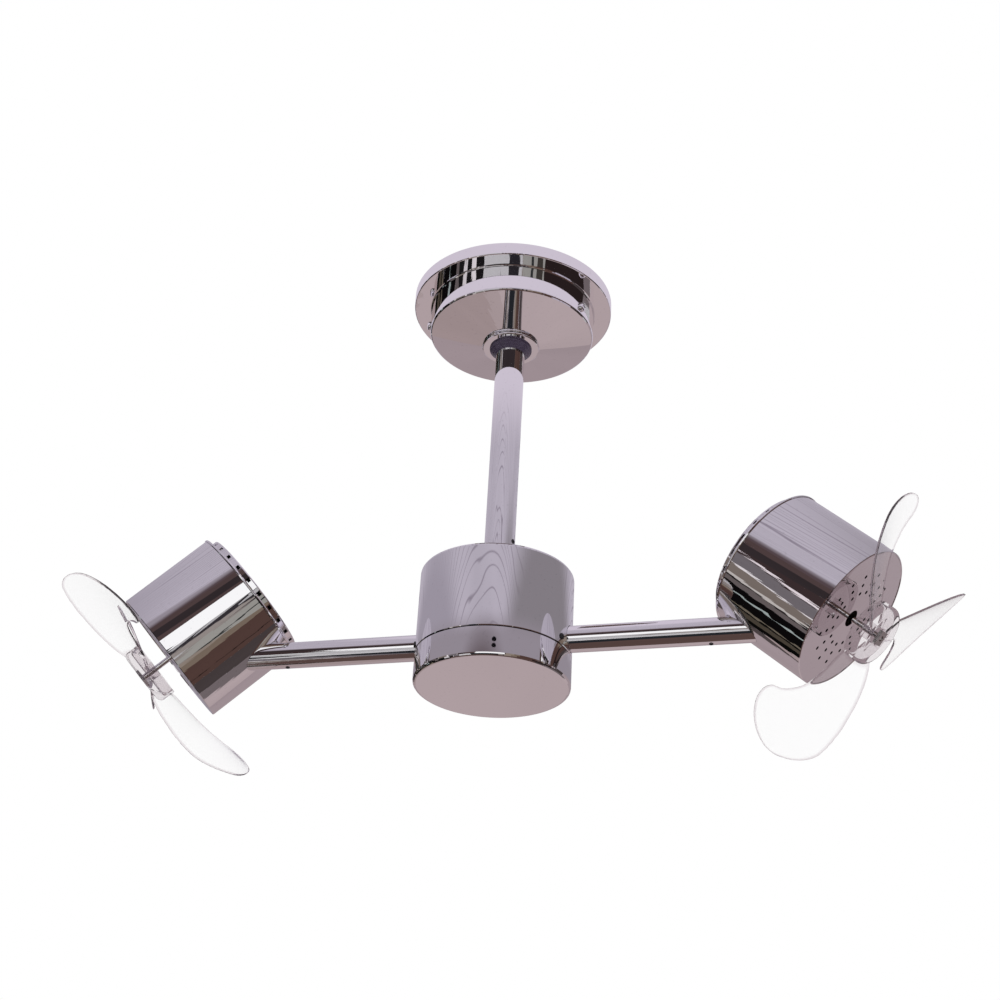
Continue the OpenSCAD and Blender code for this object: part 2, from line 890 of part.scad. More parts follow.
module windings(side) {
    color(copper)
        at_head(side)
            for (z = [stator_front_z, stator_back_z - coil_h])
                ring(coil_out_r, coil_in_r, z, z + coil_h);
}

// End bell of the motor, its rim at z = 0 and its wall towards +Z
module bell() {
    difference() {
        union() {
            ring(stator_d / 2, stator_d / 2 - 1.5, 0, bell_h);
            rod(stator_d / 2, bell_h - bell_wall, bell_h);
            rod(motor_boss_r, bell_h - motor_bearing_w - 1, bell_h);
        }
        rod(motor_bearing_r + 0.02, -1, bell_h + 1);
        for (i = [0:3])
            rotate([0, 0, 90 * i])
                translate([bolt_ring_r, 0, 0])
                    rod(bolt_r + push_fit, bell_h - bell_wall - 1, bell_h + 1);
    }
}

module motor_brackets(side) {
    color(steel)
        at_head(side)
            rotate([0, 0, bolt_turn]) {
                translate([0, 0, stator_front_z])
                    bell();
                translate([0, 0, stator_back_z])
                    rotate([180, 0, 0])
                        bell();
            }
}

module motor_bearings(side) {
    color(brass)
        at_head(side)
            for (z = [bell_front_z - motor_bearing_w, bell_back_z])
                ring(motor_bearing_r, shaft_r + turn_fit, z, z + motor_bearing_w);
}

// Long bolts from the rear bell through the stator and the sleeves into the front plate
module motor_bolts(side) {
    color(steel)
        at_head(side)
            for (i = [0:3])
                rotate([0, 0, bolt_turn + 90 * i])
                    translate([bolt_ring_r, 0, 0]) {
                        rod(bolt_r, bell_back_z, plate_back_z - 0.2);
                        rod(bolt_head_r, bell_back_z - bolt_head_h, bell_back_z);
                    }
}

module motor_standoffs(side) {
    color(nylon)
        at_head(side)
            for (i = [0:3])
                rotate([0, 0, bolt_turn + 90 * i])
                    translate([bolt_ring_r, 0, 0])
                        ring(sleeve_r, bolt_r + push_fit, bell_front_z, bell_front_z + sleeve_l);
}

module arm_foot_screw(side) {
    color(dark_screw)
        at_arm(side)
            rotate([0, 0, side > 0 ? 180 : 0])
                outward(0, foot_screw_s)
                    grub_screw(foot_screw_r, head_bolt_r + open_gap, arm_r + 0.5);
}

// ---------------------------------------------------------------- fans

module rotor(side) {
    color(steel)
        at_head(side)
            ring(rotor_d / 2, shaft_r + push_fit, stator_back_z, stator_front_z);
}

module motor_shaft(side) {
    color(chrome)
        at_head(side)
            rod(shaft_r, shaft_back_z, shaft_front_z);
}

// Height of a blade's middle surface above the front face, at radius r and angle a
function blade_height(r, a) =
    let (turn = a * PI / 180)
    blade_mid + blade_climb * turn * r / blade_climb_r
    + blade_curl * pow(turn + blade_curl_shift, 2) * r / blade_curl_r
    + blade_rise * (r - blade_rise_r) / blade_rise_r;

// One side of the blade as rows of points: lift is half the thickness, up or down
function blade_side(lift) = [
    for (edge = blade_edges)
        for (j = [0:blade_steps])
            let (r = blade_root_r + edge[0] * (tip_r - blade_root_r),
                 a = edge[1] + (edge[2] - edge[1]) * j / blade_steps)
            [r * cos(a), r * sin(a), blade_height(r, a) + lift]];

module blade() {
    rows = len(blade_edges);
    cols = blade_steps + 1;
    n = rows * cols;
    tops = [for (i = [0:rows - 2]) for (j = [0:cols - 2]) let (k = i * cols + j)
        each [[k, k + cols, k + 1], [k + 1, k + cols, k + cols + 1]]];
    bottoms = [for (f = tops) [f[2] + n, f[1] + n, f[0] + n]];
    rim = concat([for (j = [0:cols - 2]) j],
                 [for (i = [0:rows - 2]) i * cols + cols - 1],
                 [for (j = [cols - 1:-1:1]) (rows - 1) * cols + j],
                 [for (i = [rows - 1:-1:1]) i * cols]);
    sides = [for (i = [0:len(rim) - 1]) let (a = rim[i], b = rim[(i + 1) % len(rim)])
        each [[a, b, a + n], [b, b + n, a + n]]];
    polyhedron(points = concat(blade_side(blade_t / 2), blade_side(-blade_t / 2)),
               faces = concat(tops, bottoms, sides), convexity = 4);
}

module propeller(side) {
    color(clear_plastic)
        at_head(side)
            rotate([0, 0, side > 0 ? right_turn : left_turn])
                difference() {
                    union() {
                        rotate_extrude()
                            polygon(concat(
                                [[prop_hub_r - prop_wall, prop_back_z], [prop_hub_r, prop_back_z]],
                                arc(prop_hub_r - prop_fillet, prop_front_z - prop_fillet,
                                    prop_fillet, 0, 90, 6),
                                [[0, prop_front_z], [0, prop_front_z - prop_wall - clip_depth],
                                 [prop_hub_r - prop_wall,
                                  prop_front_z - prop_wall - clip_depth]]));
                        rod(prop_boss_r, prop_back_z, prop_front_z - prop_wall);
                        translate([0, 0, face_z])
                            for (i = [0:blade_count - 1])
                                rotate([0, 0, i * 360 / blade_count])
                                    blade();
                    }
                    rod(shaft_r + push_fit, prop_back_z - 1, prop_front_z + 1);
                    translate([-clip_side / 2 - 0.1, -clip_side / 2 - 0.1, prop_front_z - clip_depth])
                        cube([clip_side + 0.2, clip_side + 0.2, clip_depth + 1]);
                }
}

module prop_clip(side) {
    z = prop_front_z - clip_depth;
    color(steel)
        at_head(side)
            rotate([0, 0, side > 0 ? right_turn : left_turn])
                difference() {
                    translate([-clip_side / 2, -clip_side / 2, z])
                        cube([clip_side, clip_side, clip_depth + 0.3]);
                    rod(shaft_r + push_fit, z - 1, z + clip_depth + 1);
                }
}

// ---------------------------------------------------------------- nodes

ceiling_plate();
canopy();
canopy_screws();
canopy_collar();
collar_clip();
canopy_grommet();
terminal_block();
cross_pin();
cross_pin_nut();
downrod();
rod_screw();
hub_spindle();
spindle_nut();
slip_ring();
hub_carrier();
hub_bearings();
hub_shell();
hub_shell_screws();
hub_cup();
cup_spring_ring();
brush_block();
capacitors();
arm_set_screws();
arm(left);  // arm_left
arm_plug(left);  // arm_plug_left
head_bolt(left);  // head_bolt_left
head_saddle(left);  // head_saddle_left
head_shell(left);  // head_shell_left
front_plate(left);  // front_plate_left
rear_cap(left);  // rear_cap_left
stator(left);  // stator_left
windings(left);  // windings_left
motor_brackets(left);  // motor_brackets_left
motor_bearings(left);  // motor_bearings_left
motor_bolts(left);  // motor_bolts_left
motor_standoffs(left);  // motor_standoffs_left
arm_foot_screw(left);  // arm_foot_screw_left
arm(right);  // arm_right
arm_plug(right);  // arm_plug_right
head_bolt(right);  // head_bolt_right
head_saddle(right);  // head_saddle_right
head_shell(right);  // head_shell_right
front_plate(right);  // front_plate_right
rear_cap(right);  // rear_cap_right
stator(right);  // stator_right
windings(right);  // windings_right
motor_brackets(right);  // motor_brackets_right
motor_bearings(right);  // motor_bearings_right
motor_bolts(right);  // motor_bolts_right
motor_standoffs(right);  // motor_standoffs_right
arm_foot_screw(right);  // arm_foot_screw_right
rotor(left);  // rotor_left
motor_shaft(left);  // motor_shaft_left
propeller(left);  // propeller_left
prop_clip(left);  // prop_clip_left
rotor(right);  // rotor_right
motor_shaft(right);  // motor_shaft_right
propeller(right);  // propeller_right
prop_clip(right);  // prop_clip_right
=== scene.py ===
"""Ceiling fan with two motor heads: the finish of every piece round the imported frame."""
import json
import math

import bmesh
import bpy
from bpy.props import FloatProperty, FloatVectorProperty, PointerProperty
from mathutils import Matrix, Vector, kdtree, noise


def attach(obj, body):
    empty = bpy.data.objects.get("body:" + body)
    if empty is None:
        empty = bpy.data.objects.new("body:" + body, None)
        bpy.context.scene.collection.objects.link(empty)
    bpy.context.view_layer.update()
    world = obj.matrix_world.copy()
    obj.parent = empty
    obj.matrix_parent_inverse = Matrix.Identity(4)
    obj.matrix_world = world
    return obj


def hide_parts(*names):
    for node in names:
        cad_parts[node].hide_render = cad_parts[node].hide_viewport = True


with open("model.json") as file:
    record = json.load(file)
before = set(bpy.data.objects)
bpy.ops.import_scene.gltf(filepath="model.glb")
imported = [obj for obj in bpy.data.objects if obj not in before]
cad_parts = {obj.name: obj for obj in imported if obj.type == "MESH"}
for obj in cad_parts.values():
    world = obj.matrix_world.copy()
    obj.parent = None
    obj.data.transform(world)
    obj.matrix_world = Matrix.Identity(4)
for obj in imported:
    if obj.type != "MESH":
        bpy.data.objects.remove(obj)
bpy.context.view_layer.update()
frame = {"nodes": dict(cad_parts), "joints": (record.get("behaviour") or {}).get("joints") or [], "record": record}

bl_info = {
    "name": "Twin head ceiling fan",
    "version": (1, 0, 0),
    "blender": (4, 5, 0),
    "location": "3D View > Sidebar > Fan",
    "description": "Builds the finish of a ceiling fan with two motor heads",
    "category": "Object",
}

MM = 0.001

# Where the photograph was taken from, in the fan's own frame; lens and sensor in mm
CAMERA_AT = Vector((0.3450, -1.2667, -0.9636))
CAMERA_LOOKS = Vector((-0.22947, 0.83765, 0.49567))
CAMERA_UP = Vector((0.07500, -0.49253, 0.86707))
CAMERA_LENS = 61.36
CAMERA_SENSOR = 36.0

# Edges of a blade: radius in mm, leading and trailing angle in degrees, tip last
BLADE_EDGES = ((24.0, 28, -36), (46.3, 24, -27), (68.7, 19, -26), (87.9, 15, -33),
               (101.1, 12, -41), (110.3, 9, -42), (117.4, 4, -38), (122.5, -3, -27),
               (125.4, -12, -12))
BLADES = 3
BLADE_ROWS = 44
BLADE_COLUMNS = 22
EDGE_SPANS = 120  # straight spans along each edge, from which the rim's rounding is measured
TIP_CROWDING = 1.6  # over 1, the rows of points lie closer towards the tip
RIM_SHADE_WIDTH = 1.3  # width of the rim's painted shade, in halves of the blade's thickness

# A blade's middle surface, in mm and radians: its rise per radian of turn at a radius, its
# bowl at a radius with the angle of the bowl's bottom, and its rise out towards the tip
SLOPE_RISE = 31.6
SLOPE_R = 80
BOWL_RISE = 28.6
BOWL_R = 100
BOWL_ANGLE = -0.14
TIP_RISE = 2.55
TIP_R = 70

# The clear hub: roundings, play round the shaft and the clip, and its share of the rims' tone, which is a tint of
# the thick moulding on the hub and painted shade on the rims
HUB_FRONT_ROUND = 5.0 * MM
HUB_INNER_ROUND = 2.0 * MM
BOSS_ROOT_ROUND = 1.5 * MM
SHAFT_PLAY = 0.05 * MM
CLIP_PLAY = 0.1 * MM
HUB_SEGMENTS = 120
HUB_TINT = 0.5
POINT_TOLERANCE = 0.1 * MM  # how far a point may lie past a radius and still count as on it
WELD = 0.0001 * MM  # points closer than this are one
BLADE_WELD = 0.02 * MM
SHORTEST_EDGE = 0.01 * MM

MATERIALS = {}


# ---------------------------------------------------------------- sizes taken from the frame

def joint(name):
    """The frame's joint of that name."""
    return next(j for j in frame["joints"] if j["name"] == name)


def head_matrix(side):
    """Frame of a head: origin where arm and head axes cross, Z the way the air goes."""
    spin = joint("fan_spin_" + side)
    z = Vector(spin["axis"]).normalized()
    outward = Vector((1 if side == "right" else -1, 0, 0))
    y = outward.cross(z).normalized()
    x = y.cross(z)
    rows = Matrix((x, y, z)).transposed().to_4x4()
    rows.translation = Vector(spin["pos_m"])
    return rows


def points_in(matrix, node):
    """A CAD node's points, in the frame of a matrix."""
    inverse = matrix.inverted()
    return [inverse @ v.co for v in frame["nodes"][node].data.vertices]


# ---------------------------------------------------------------- mesh helpers

def arc(x, y, r, start, end, steps=6):
    """Points of an arc in a profile, angles in degrees."""
    out = []
    for i in range(steps + 1):
        a = math.radians(start + (end - start) * i / steps)
        out.append((x + r * math.cos(a), y + r * math.sin(a)))
    return out


def new_object(name, mesh, material):
    """Links a mesh as an object at the origin, with one material."""
    obj = bpy.data.objects.new(name, mesh)
    bpy.context.scene.collection.objects.link(obj)
    if material is not None:
        mesh.materials.append(material)
    return obj


def smooth(mesh, degrees):
    """Smooth shading with the edges over an angle kept sharp."""
    mesh.shade_smooth()
    mesh.set_sharp_from_angle(angle=math.radians(degrees))


def plain_mesh(bm, name):
    """Turns a bmesh into a mesh as it is."""
    mesh = bpy.data.meshes.new(name)
    bm.to_mesh(mesh)
    bm.free()
    return mesh


def solid_mesh(bm, name):
    """Turns a bmesh into a mesh with its points joined and its faces outwards."""
    bmesh.ops.remove_doubles(bm, verts=bm.verts, dist=WELD)
    bmesh.ops.recalc_face_normals(bm, faces=bm.faces)
    return plain_mesh(bm, name)


def lathe(profile, segments):
    """A closed ring turned round Z from (radius, height) points."""
    bm = bmesh.new()
    rings = [[bm.verts.new((r * math.cos(math.tau * i / segments),
                            r * math.sin(math.tau * i / segments), z))
              for i in range(segments)] for r, z in profile]
    for low, high in zip(rings, rings[1:] + rings[:1]):
        for i in range(segments):
            j = (i + 1) % segments
            bm.faces.new((low[i], low[j], high[j], high[i]))
    return bm


def curve_through(points, t):
    """Point at t (0 to 1) of a smooth curve through points, with one spare at each end."""
    spans = len(points) - 3
    k = min(int(t * spans), spans - 1)
    u = t * spans - k
    p0, p1, p2, p3 = (Vector(p) for p in points[k:k + 4])
    return 0.5 * (2 * p1 + (p2 - p0) * u + (2 * p0 - 5 * p1 + 4 * p2 - p3) * u * u +
                  (3 * p1 - p0 - 3 * p2 + p3) * u * u * u)


def cut(mesh, tool, operation):
    """A mesh joined with, or cut by, another one; the tool is used up."""
    body = new_object("body", mesh, None)
    other = new_object("tool", tool, None)
    work = body.modifiers.new("cut", "BOOLEAN")
    work.operation = operation
    work.solver = "EXACT"
    work.object = other
    shape = body.evaluated_get(bpy.context.evaluated_depsgraph_get())
    result = bpy.data.meshes.new_from_object(shape)
    bpy.data.objects.remove(body)
    bpy.data.objects.remove(other)
    return result


def carry(obj, body, slot, *nodes):
    """The piece rides on a body and stands for CAD nodes; the slot is not used."""
    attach(obj, body)
    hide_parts(*nodes)


# ---------------------------------------------------------------- repeats by nodes

def spin_tree(material):
    """Geometry nodes: copies of a mesh set evenly round Z."""
    tree = bpy.data.node_groups.new("Set round an axis", "GeometryNodeTree")
    tree.is_modifier = True
    face = tree.interface
    face.new_socket("Geometry", in_out="INPUT", socket_type="NodeSocketGeometry")
    count = face.new_socket("Count", in_out="INPUT", socket_type="NodeSocketInt")
    count.default_value = BLADES
    turn = face.new_socket("Turn", in_out="INPUT", socket_type="NodeSocketFloat")
    turn.subtype = "ANGLE"
    face.new_socket("Geometry", in_out="OUTPUT", socket_type="NodeSocketGeometry")
    nodes, links = tree.nodes, tree.links
    entry = nodes.new("NodeGroupInput")
    leave = nodes.new("NodeGroupOutput")
    line = nodes.new("GeometryNodeMeshLine")
    line.inputs["Offset"].default_value = (0, 0, 0)
    links.new(entry.outputs["Count"], line.inputs["Count"])
    index = nodes.new("GeometryNodeInputIndex")
    step = math_node(tree, "DIVIDE", math.tau, entry.outputs["Count"])
    angle = math_node(tree, "MULTIPLY", index.outputs["Index"], step)
    angle = math_node(tree, "ADD", angle, entry.outputs["Turn"])
    spin = nodes.new("ShaderNodeCombineXYZ")
    links.new(angle, spin.inputs["Z"])
    copies = nodes.new("GeometryNodeInstanceOnPoints")
    links.new(line.outputs["Mesh"], copies.inputs["Points"])
    links.new(entry.outputs["Geometry"], copies.inputs["Instance"])
    links.new(spin.outputs["Vector"], copies.inputs["Rotation"])
    real = nodes.new("GeometryNodeRealizeInstances")
    links.new(copies.outputs["Instances"], real.inputs["Geometry"])
    dress = nodes.new("GeometryNodeSetMaterial")
    dress.inputs["Material"].default_value = material
    links.new(real.outputs["Geometry"], dress.inputs["Geometry"])
    links.new(dress.outputs["Geometry"], leave.inputs["Geometry"])
    return tree


def bake_nodes(mesh, tree, **values):
    """The mesh that a node tree makes of a mesh, with its inputs set by name."""
    host = new_object("host", mesh, None)
    work = host.modifiers.new("nodes", "NODES")
    work.node_group = tree
    for item in tree.interface.items_tree:
        if item.item_type == "SOCKET" and item.in_out == "INPUT" and item.name in values:
            work[item.identifier] = values[item.name]
    shape = host.evaluated_get(bpy.context.evaluated_depsgraph_get())
    result = bpy.data.meshes.new_from_object(shape)
    host.modifiers.remove(work)
    bpy.data.objects.remove(host)
    return result


# ---------------------------------------------------------------- propellers

def blade_height(r, a, sizes):
    """Height of a blade's middle surface over the motor's front face, in mm."""
    slope = SLOPE_RISE * a * r / SLOPE_R
    bowl = BOWL_RISE * (a - BOWL_ANGLE) ** 2 * r / BOWL_R
    return sizes.blade_mid / MM + slope + bowl + TIP_RISE * (r - TIP_R) / TIP_R


def crowd_to_ends(share):
    """A share from 0 to 1, moved so that even steps lie closer near both ends."""
    return 0.5 - 0.5 * math.cos(math.pi * share)


def with_spares(edge, last):
    """An edge's (radius, angle) points with one spare point before them and one after."""
    first = (2 * edge[0][0] - edge[1][0], 2 * edge[0][1] - edge[1][1])
    return [first] + edge + [last]


def polar(r, degrees):
    """Point at a radius and an angle."""
    a = math.radians(degrees)
    return Vector((r * math.cos(a), r * math.sin(a)))


def blade_points(sizes, front):
    """A blade's rows of points from root to tip, in mm: place, height, half thickness, share of the painted rim
    shade.
    """
    lead = [(r, a) for r, a, _ in BLADE_EDGES]
    trail = [(r, b) for r, _, b in BLADE_EDGES]
    lead, trail = with_spares(lead, trail[-2]), with_spares(trail, lead[-2])
    half = sizes.blade_thick / MM / 2
    rim = [polar(*curve_through(edge, i / EDGE_SPANS))
           for edge in (lead, trail) for i in range(EDGE_SPANS + 1)]
    rows = []
    for i in range(BLADE_ROWS + 1):
        t = 1 - (1 - i / BLADE_ROWS) ** TIP_CROWDING
        p, q = curve_through(lead, t), curve_through(trail, t)
        row = []
        for j in range(BLADE_COLUMNS + 1):
            s = crowd_to_ends(crowd_to_ends(j / BLADE_COLUMNS))
            r, angle = p[0] + (q[0] - p[0]) * s, p[1] + (q[1] - p[1]) * s
            spot = polar(r, angle)
            gap = min((spot - k).length for k in rim)
            if j in (0, BLADE_COLUMNS) or i == BLADE_ROWS:
                gap = 0.0
            near = min(gap / half, 1.0)
            lift = half * math.sqrt(max(0.0, 1 - (1 - near) ** 2))
            z = front / MM + blade_height(r, math.radians(angle), sizes)
            # The last value is the share of shade painted along the blade's rim
            row.append((spot, z, lift, max(0.0, 1 - gap / (RIM_SHADE_WIDTH * half))))
        rows.append(row)
    return rows


def blade_mesh(sizes, front):
    """One blade with a rounded rim; a point attribute marks the rim, where shade is painted along the blade's
    edge.
    """
    bm = bmesh.new()
    tint_and_rim_shade = bm.verts.layers.float.new("tint_and_rim_shade")

    def vertex(point, sign):
        spot, z, lift, shade = point
        v = bm.verts.new((spot.x * MM, spot.y * MM, (z + sign * lift) * MM))
        v[tint_and_rim_shade] = shade
        return v

    rows = blade_points(sizes, front)
    top = [[vertex(p, 1) for p in row] for row in rows]
    low = [[vertex(p, -1) for p in row] for row in rows]
    for i in range(BLADE_ROWS):
        for j in range(BLADE_COLUMNS):
            bm.faces.new((top[i][j], top[i + 1][j], top[i + 1][j + 1], top[i][j + 1]))
            bm.faces.new((low[i][j], low[i][j + 1], low[i + 1][j + 1], low[i + 1][j]))
    for j in range(BLADE_COLUMNS):
        bm.faces.new((top[0][j], top[0][j + 1], low[0][j + 1], low[0][j]))
    bmesh.ops.remove_doubles(bm, verts=bm.verts, dist=BLADE_WELD)
    bmesh.ops.dissolve_degenerate(bm, edges=bm.edges, dist=SHORTEST_EDGE)
    bmesh.ops.recalc_face_normals(bm, faces=bm.faces)
    return plain_mesh(bm, "blade")


def hub_mesh(sizes, back, front, r, bore):
    """The clear hub: a cup open to the motor, with a boss on the shaft and a clip's seat."""
    wall = sizes.prop_wall
    boss = sizes.shaft_boss_r
    seat = front - wall - sizes.clip_depth
    root = seat - BOSS_ROOT_ROUND
    profile = ([(r, back), (r, front - HUB_FRONT_ROUND)] +
               arc(r - HUB_FRONT_ROUND, front - HUB_FRONT_ROUND, HUB_FRONT_ROUND, 6, 90, 12) +
               [(bore, front), (bore, back), (boss, back), (boss, root)] +
               arc(boss + BOSS_ROOT_ROUND, root, BOSS_ROOT_ROUND, 180, 90, 4) +
               arc(r - wall - HUB_INNER_ROUND, seat - HUB_INNER_ROUND, HUB_INNER_ROUND, 90, 0) +
               [(r - wall, back)])
    hub = solid_mesh(lathe(profile, HUB_SEGMENTS), "hub")
    pocket = bmesh.new()
    side = sizes.clip_side + 2 * CLIP_PLAY
    bmesh.ops.create_cube(pocket, size=1.0, matrix=Matrix.Translation((0, 0, front)) @
                          Matrix.Diagonal((side, side, 2 * sizes.clip_depth, 1)))
    return cut(hub, solid_mesh(pocket, "pocket"), "DIFFERENCE")


def hub_place(side, sizes):
    """Back and front height of a propeller's hub, from its CAD solid."""
    boss = sizes.shaft_boss_r
    points = points_in(head_matrix(side), "propeller_" + side)
    back = min(p.z for p in points if p.xy.length < boss + POINT_TOLERANCE)
    return back, max(p.z for p in points if p.xy.length < 2 * boss)


def tint_hub_and_shade_rims(mesh, blades, sizes):
    """Gives each point its share of the tone: painted shade at a blade's rim, a tint on the thick hub, none in a
    blade's middle.
    """
    tree = kdtree.KDTree(len(blades.vertices))
    for i, v in enumerate(blades.vertices):
        tree.insert(v.co, i)
    tree.balance()
    known = blades.attributes["tint_and_rim_shade"].data
    old = mesh.attributes.get("tint_and_rim_shade")
    if old is not None:
        mesh.attributes.remove(old)
    layer = mesh.attributes.new("tint_and_rim_shade", "FLOAT", "POINT")
    for i, v in enumerate(mesh.vertices):
        if v.co.xy.length < sizes.prop_hub_r + POINT_TOLERANCE / 2:
            layer.data[i].value = HUB_TINT
        else:
            layer.data[i].value = known[tree.find(v.co)[1]].value


# ---------------------------------------------------------------- shader groups

def new_group(name, inputs, outputs):
    """An empty shader group with its sockets; inputs are (name, kind, default)."""
    group = bpy.data.node_groups.new(name, "ShaderNodeTree")
    for label, kind, value in inputs:
        socket = group.interface.new_socket(label, in_out="INPUT", socket_type=kind)
        socket.default_value = value
    for label, kind in outputs:
        group.interface.new_socket(label, in_out="OUTPUT", socket_type=kind)
    entry = group.nodes.new("NodeGroupInput")
    leave = group.nodes.new("NodeGroupOutput")
    return group, entry, leave


def math_node(tree, operation, a, b=None):
    """A Math node whose inputs are sockets or numbers."""
    node = tree.nodes.new("ShaderNodeMath")
    node.operation = operation
    for i, value in enumerate((a, b)):
        if value is None:
            continue
        if isinstance(value, (int, float)):
            node.inputs[i].default_value = value
        else:
            tree.links.new(value, node.inputs[i])
    return node.outputs[0]


def plated_group():
    """Polished plate: faint ripple in height, haze and specks in roughness and tone."""
    group, entry, leave = new_group(
        "Polished plate",
        [("Ripple scale", "NodeSocketFloat", 26.0), ("Haze scale", "NodeSocketFloat", 9.0),
         ("Least roughness", "NodeSocketFloat", 0.03), ("Most roughness", "NodeSocketFloat", 0.09),
         ("Tone", "NodeSocketColor", (0.8, 0.79, 0.81, 1)),
         ("Dull tone", "NodeSocketColor", (0.7, 0.69, 0.71, 1))],
        [("Color", "NodeSocketColor"), ("Roughness", "NodeSocketFloat"),
         ("Height", "NodeSocketFloat")])
    links = group.links
    place = group.nodes.new("ShaderNodeTexCoord")
    ripple = group.nodes.new("ShaderNodeTexNoise")
    ripple.inputs["Detail"].default_value = 1.5
    links.new(place.outputs["Object"], ripple.inputs["Vector"])
    links.new(entry.outputs["Ripple scale"], ripple.inputs["Scale"])
    links.new(ripple.outputs["Fac"], leave.inputs["Height"])
    haze = group.nodes.new("ShaderNodeTexNoise")
    haze.inputs["Detail"].default_value = 4.0
    links.new(place.outputs["Object"], haze.inputs["Vector"])
    links.new(entry.outputs["Haze scale"], haze.inputs["Scale"])
    level = group.nodes.new("ShaderNodeMapRange")
    level.inputs["From Min"].default_value = 0.35
    level.inputs["From Max"].default_value = 0.75
    links.new(haze.outputs["Fac"], level.inputs["Value"])
    links.new(entry.outputs["Least roughness"], level.inputs["To Min"])
    links.new(entry.outputs["Most roughness"], level.inputs["To Max"])
    links.new(level.outputs["Result"], leave.inputs["Roughness"])
    speck = group.nodes.new("ShaderNodeTexNoise")
    speck.inputs["Scale"].default_value = 420.0
    speck.inputs["Detail"].default_value = 2.0
    links.new(place.outputs["Object"], speck.inputs["Vector"])
    mask = group.nodes.new("ShaderNodeMapRange")
    mask.inputs["From Min"].default_value = 0.62
    mask.inputs["From Max"].default_value = 0.78
    links.new(speck.outputs["Fac"], mask.inputs["Value"])
    mix = group.nodes.new("ShaderNodeMix")
    mix.data_type = "RGBA"
    links.new(mask.outputs["Result"], mix.inputs["Factor"])
    links.new(entry.outputs["Tone"], mix.inputs["A"])
    links.new(entry.outputs["Dull tone"], mix.inputs["B"])
    links.new(mix.outputs["Result"], leave.inputs["Color"])
    return group


def grain_group():
    """Grain that may be stretched along one axis: tone, roughness and height."""
    group, entry, leave = new_group(
        "Grain",
        [("Scale", "NodeSocketFloat", 300.0), ("Stretch", "NodeSocketVector", (1, 1, 1)),
         ("Light", "NodeSocketColor", (0.7, 0.7, 0.7, 1)),
         ("Dark", "NodeSocketColor", (0.5, 0.5, 0.5, 1)),
         ("Least roughness", "NodeSocketFloat", 0.3), ("Most roughness", "NodeSocketFloat", 0.5)],
        [("Color", "NodeSocketColor"), ("Roughness", "NodeSocketFloat"),
         ("Height", "NodeSocketFloat")])
    links = group.links
    place = group.nodes.new("ShaderNodeTexCoord")
    spread = group.nodes.new("ShaderNodeVectorMath")
    spread.operation = "MULTIPLY"
    links.new(place.outputs["Object"], spread.inputs[0])
    links.new(entry.outputs["Stretch"], spread.inputs[1])
    grain = group.nodes.new("ShaderNodeTexNoise")
    grain.inputs["Detail"].default_value = 4.0
    links.new(spread.outputs["Vector"], grain.inputs["Vector"])
    links.new(entry.outputs["Scale"], grain.inputs["Scale"])
    links.new(grain.outputs["Fac"], leave.inputs["Height"])
    mix = group.nodes.new("ShaderNodeMix")
    mix.data_type = "RGBA"
    links.new(grain.outputs["Fac"], mix.inputs["Factor"])
    links.new(entry.outputs["Dark"], mix.inputs["A"])
    links.new(entry.outputs["Light"], mix.inputs["B"])
    links.new(mix.outputs["Result"], leave.inputs["Color"])
    level = group.nodes.new("ShaderNodeMapRange")
    links.new(grain.outputs["Fac"], level.inputs["Value"])
    links.new(entry.outputs["Least roughness"], level.inputs["To Min"])
    links.new(entry.outputs["Most roughness"], level.inputs["To Max"])
    links.new(level.outputs["Result"], leave.inputs["Roughness"])
    return group


def principled(name, group, values, bump, constants):
    """A material whose colour, roughness and bump come from a group.

    Values go into the group's sockets and constants into the shader's; bump is (strength, m)."""
    material = bpy.data.materials.new(name)
    material.use_nodes = True
    tree = material.node_tree
    shader = tree.nodes["Principled BSDF"]
    for label, value in constants.items():
        shader.inputs[label].default_value = value
    source = tree.nodes.new("ShaderNodeGroup")
    source.node_tree = group
    for label, value in values.items():
        source.inputs[label].default_value = value
    tree.links.new(source.outputs["Color"], shader.inputs["Base Color"])
    tree.links.new(source.outputs["Roughness"], shader.inputs["Roughness"])
    lift = tree.nodes.new("ShaderNodeBump")
    lift.inputs["Strength"].default_value = bump[0]
    lift.inputs["Distance"].default_value = bump[1]
    tree.links.new(source.outputs["Height"], lift.inputs["Height"])
    tree.links.new(lift.outputs["Normal"], shader.inputs["Normal"])
    return material


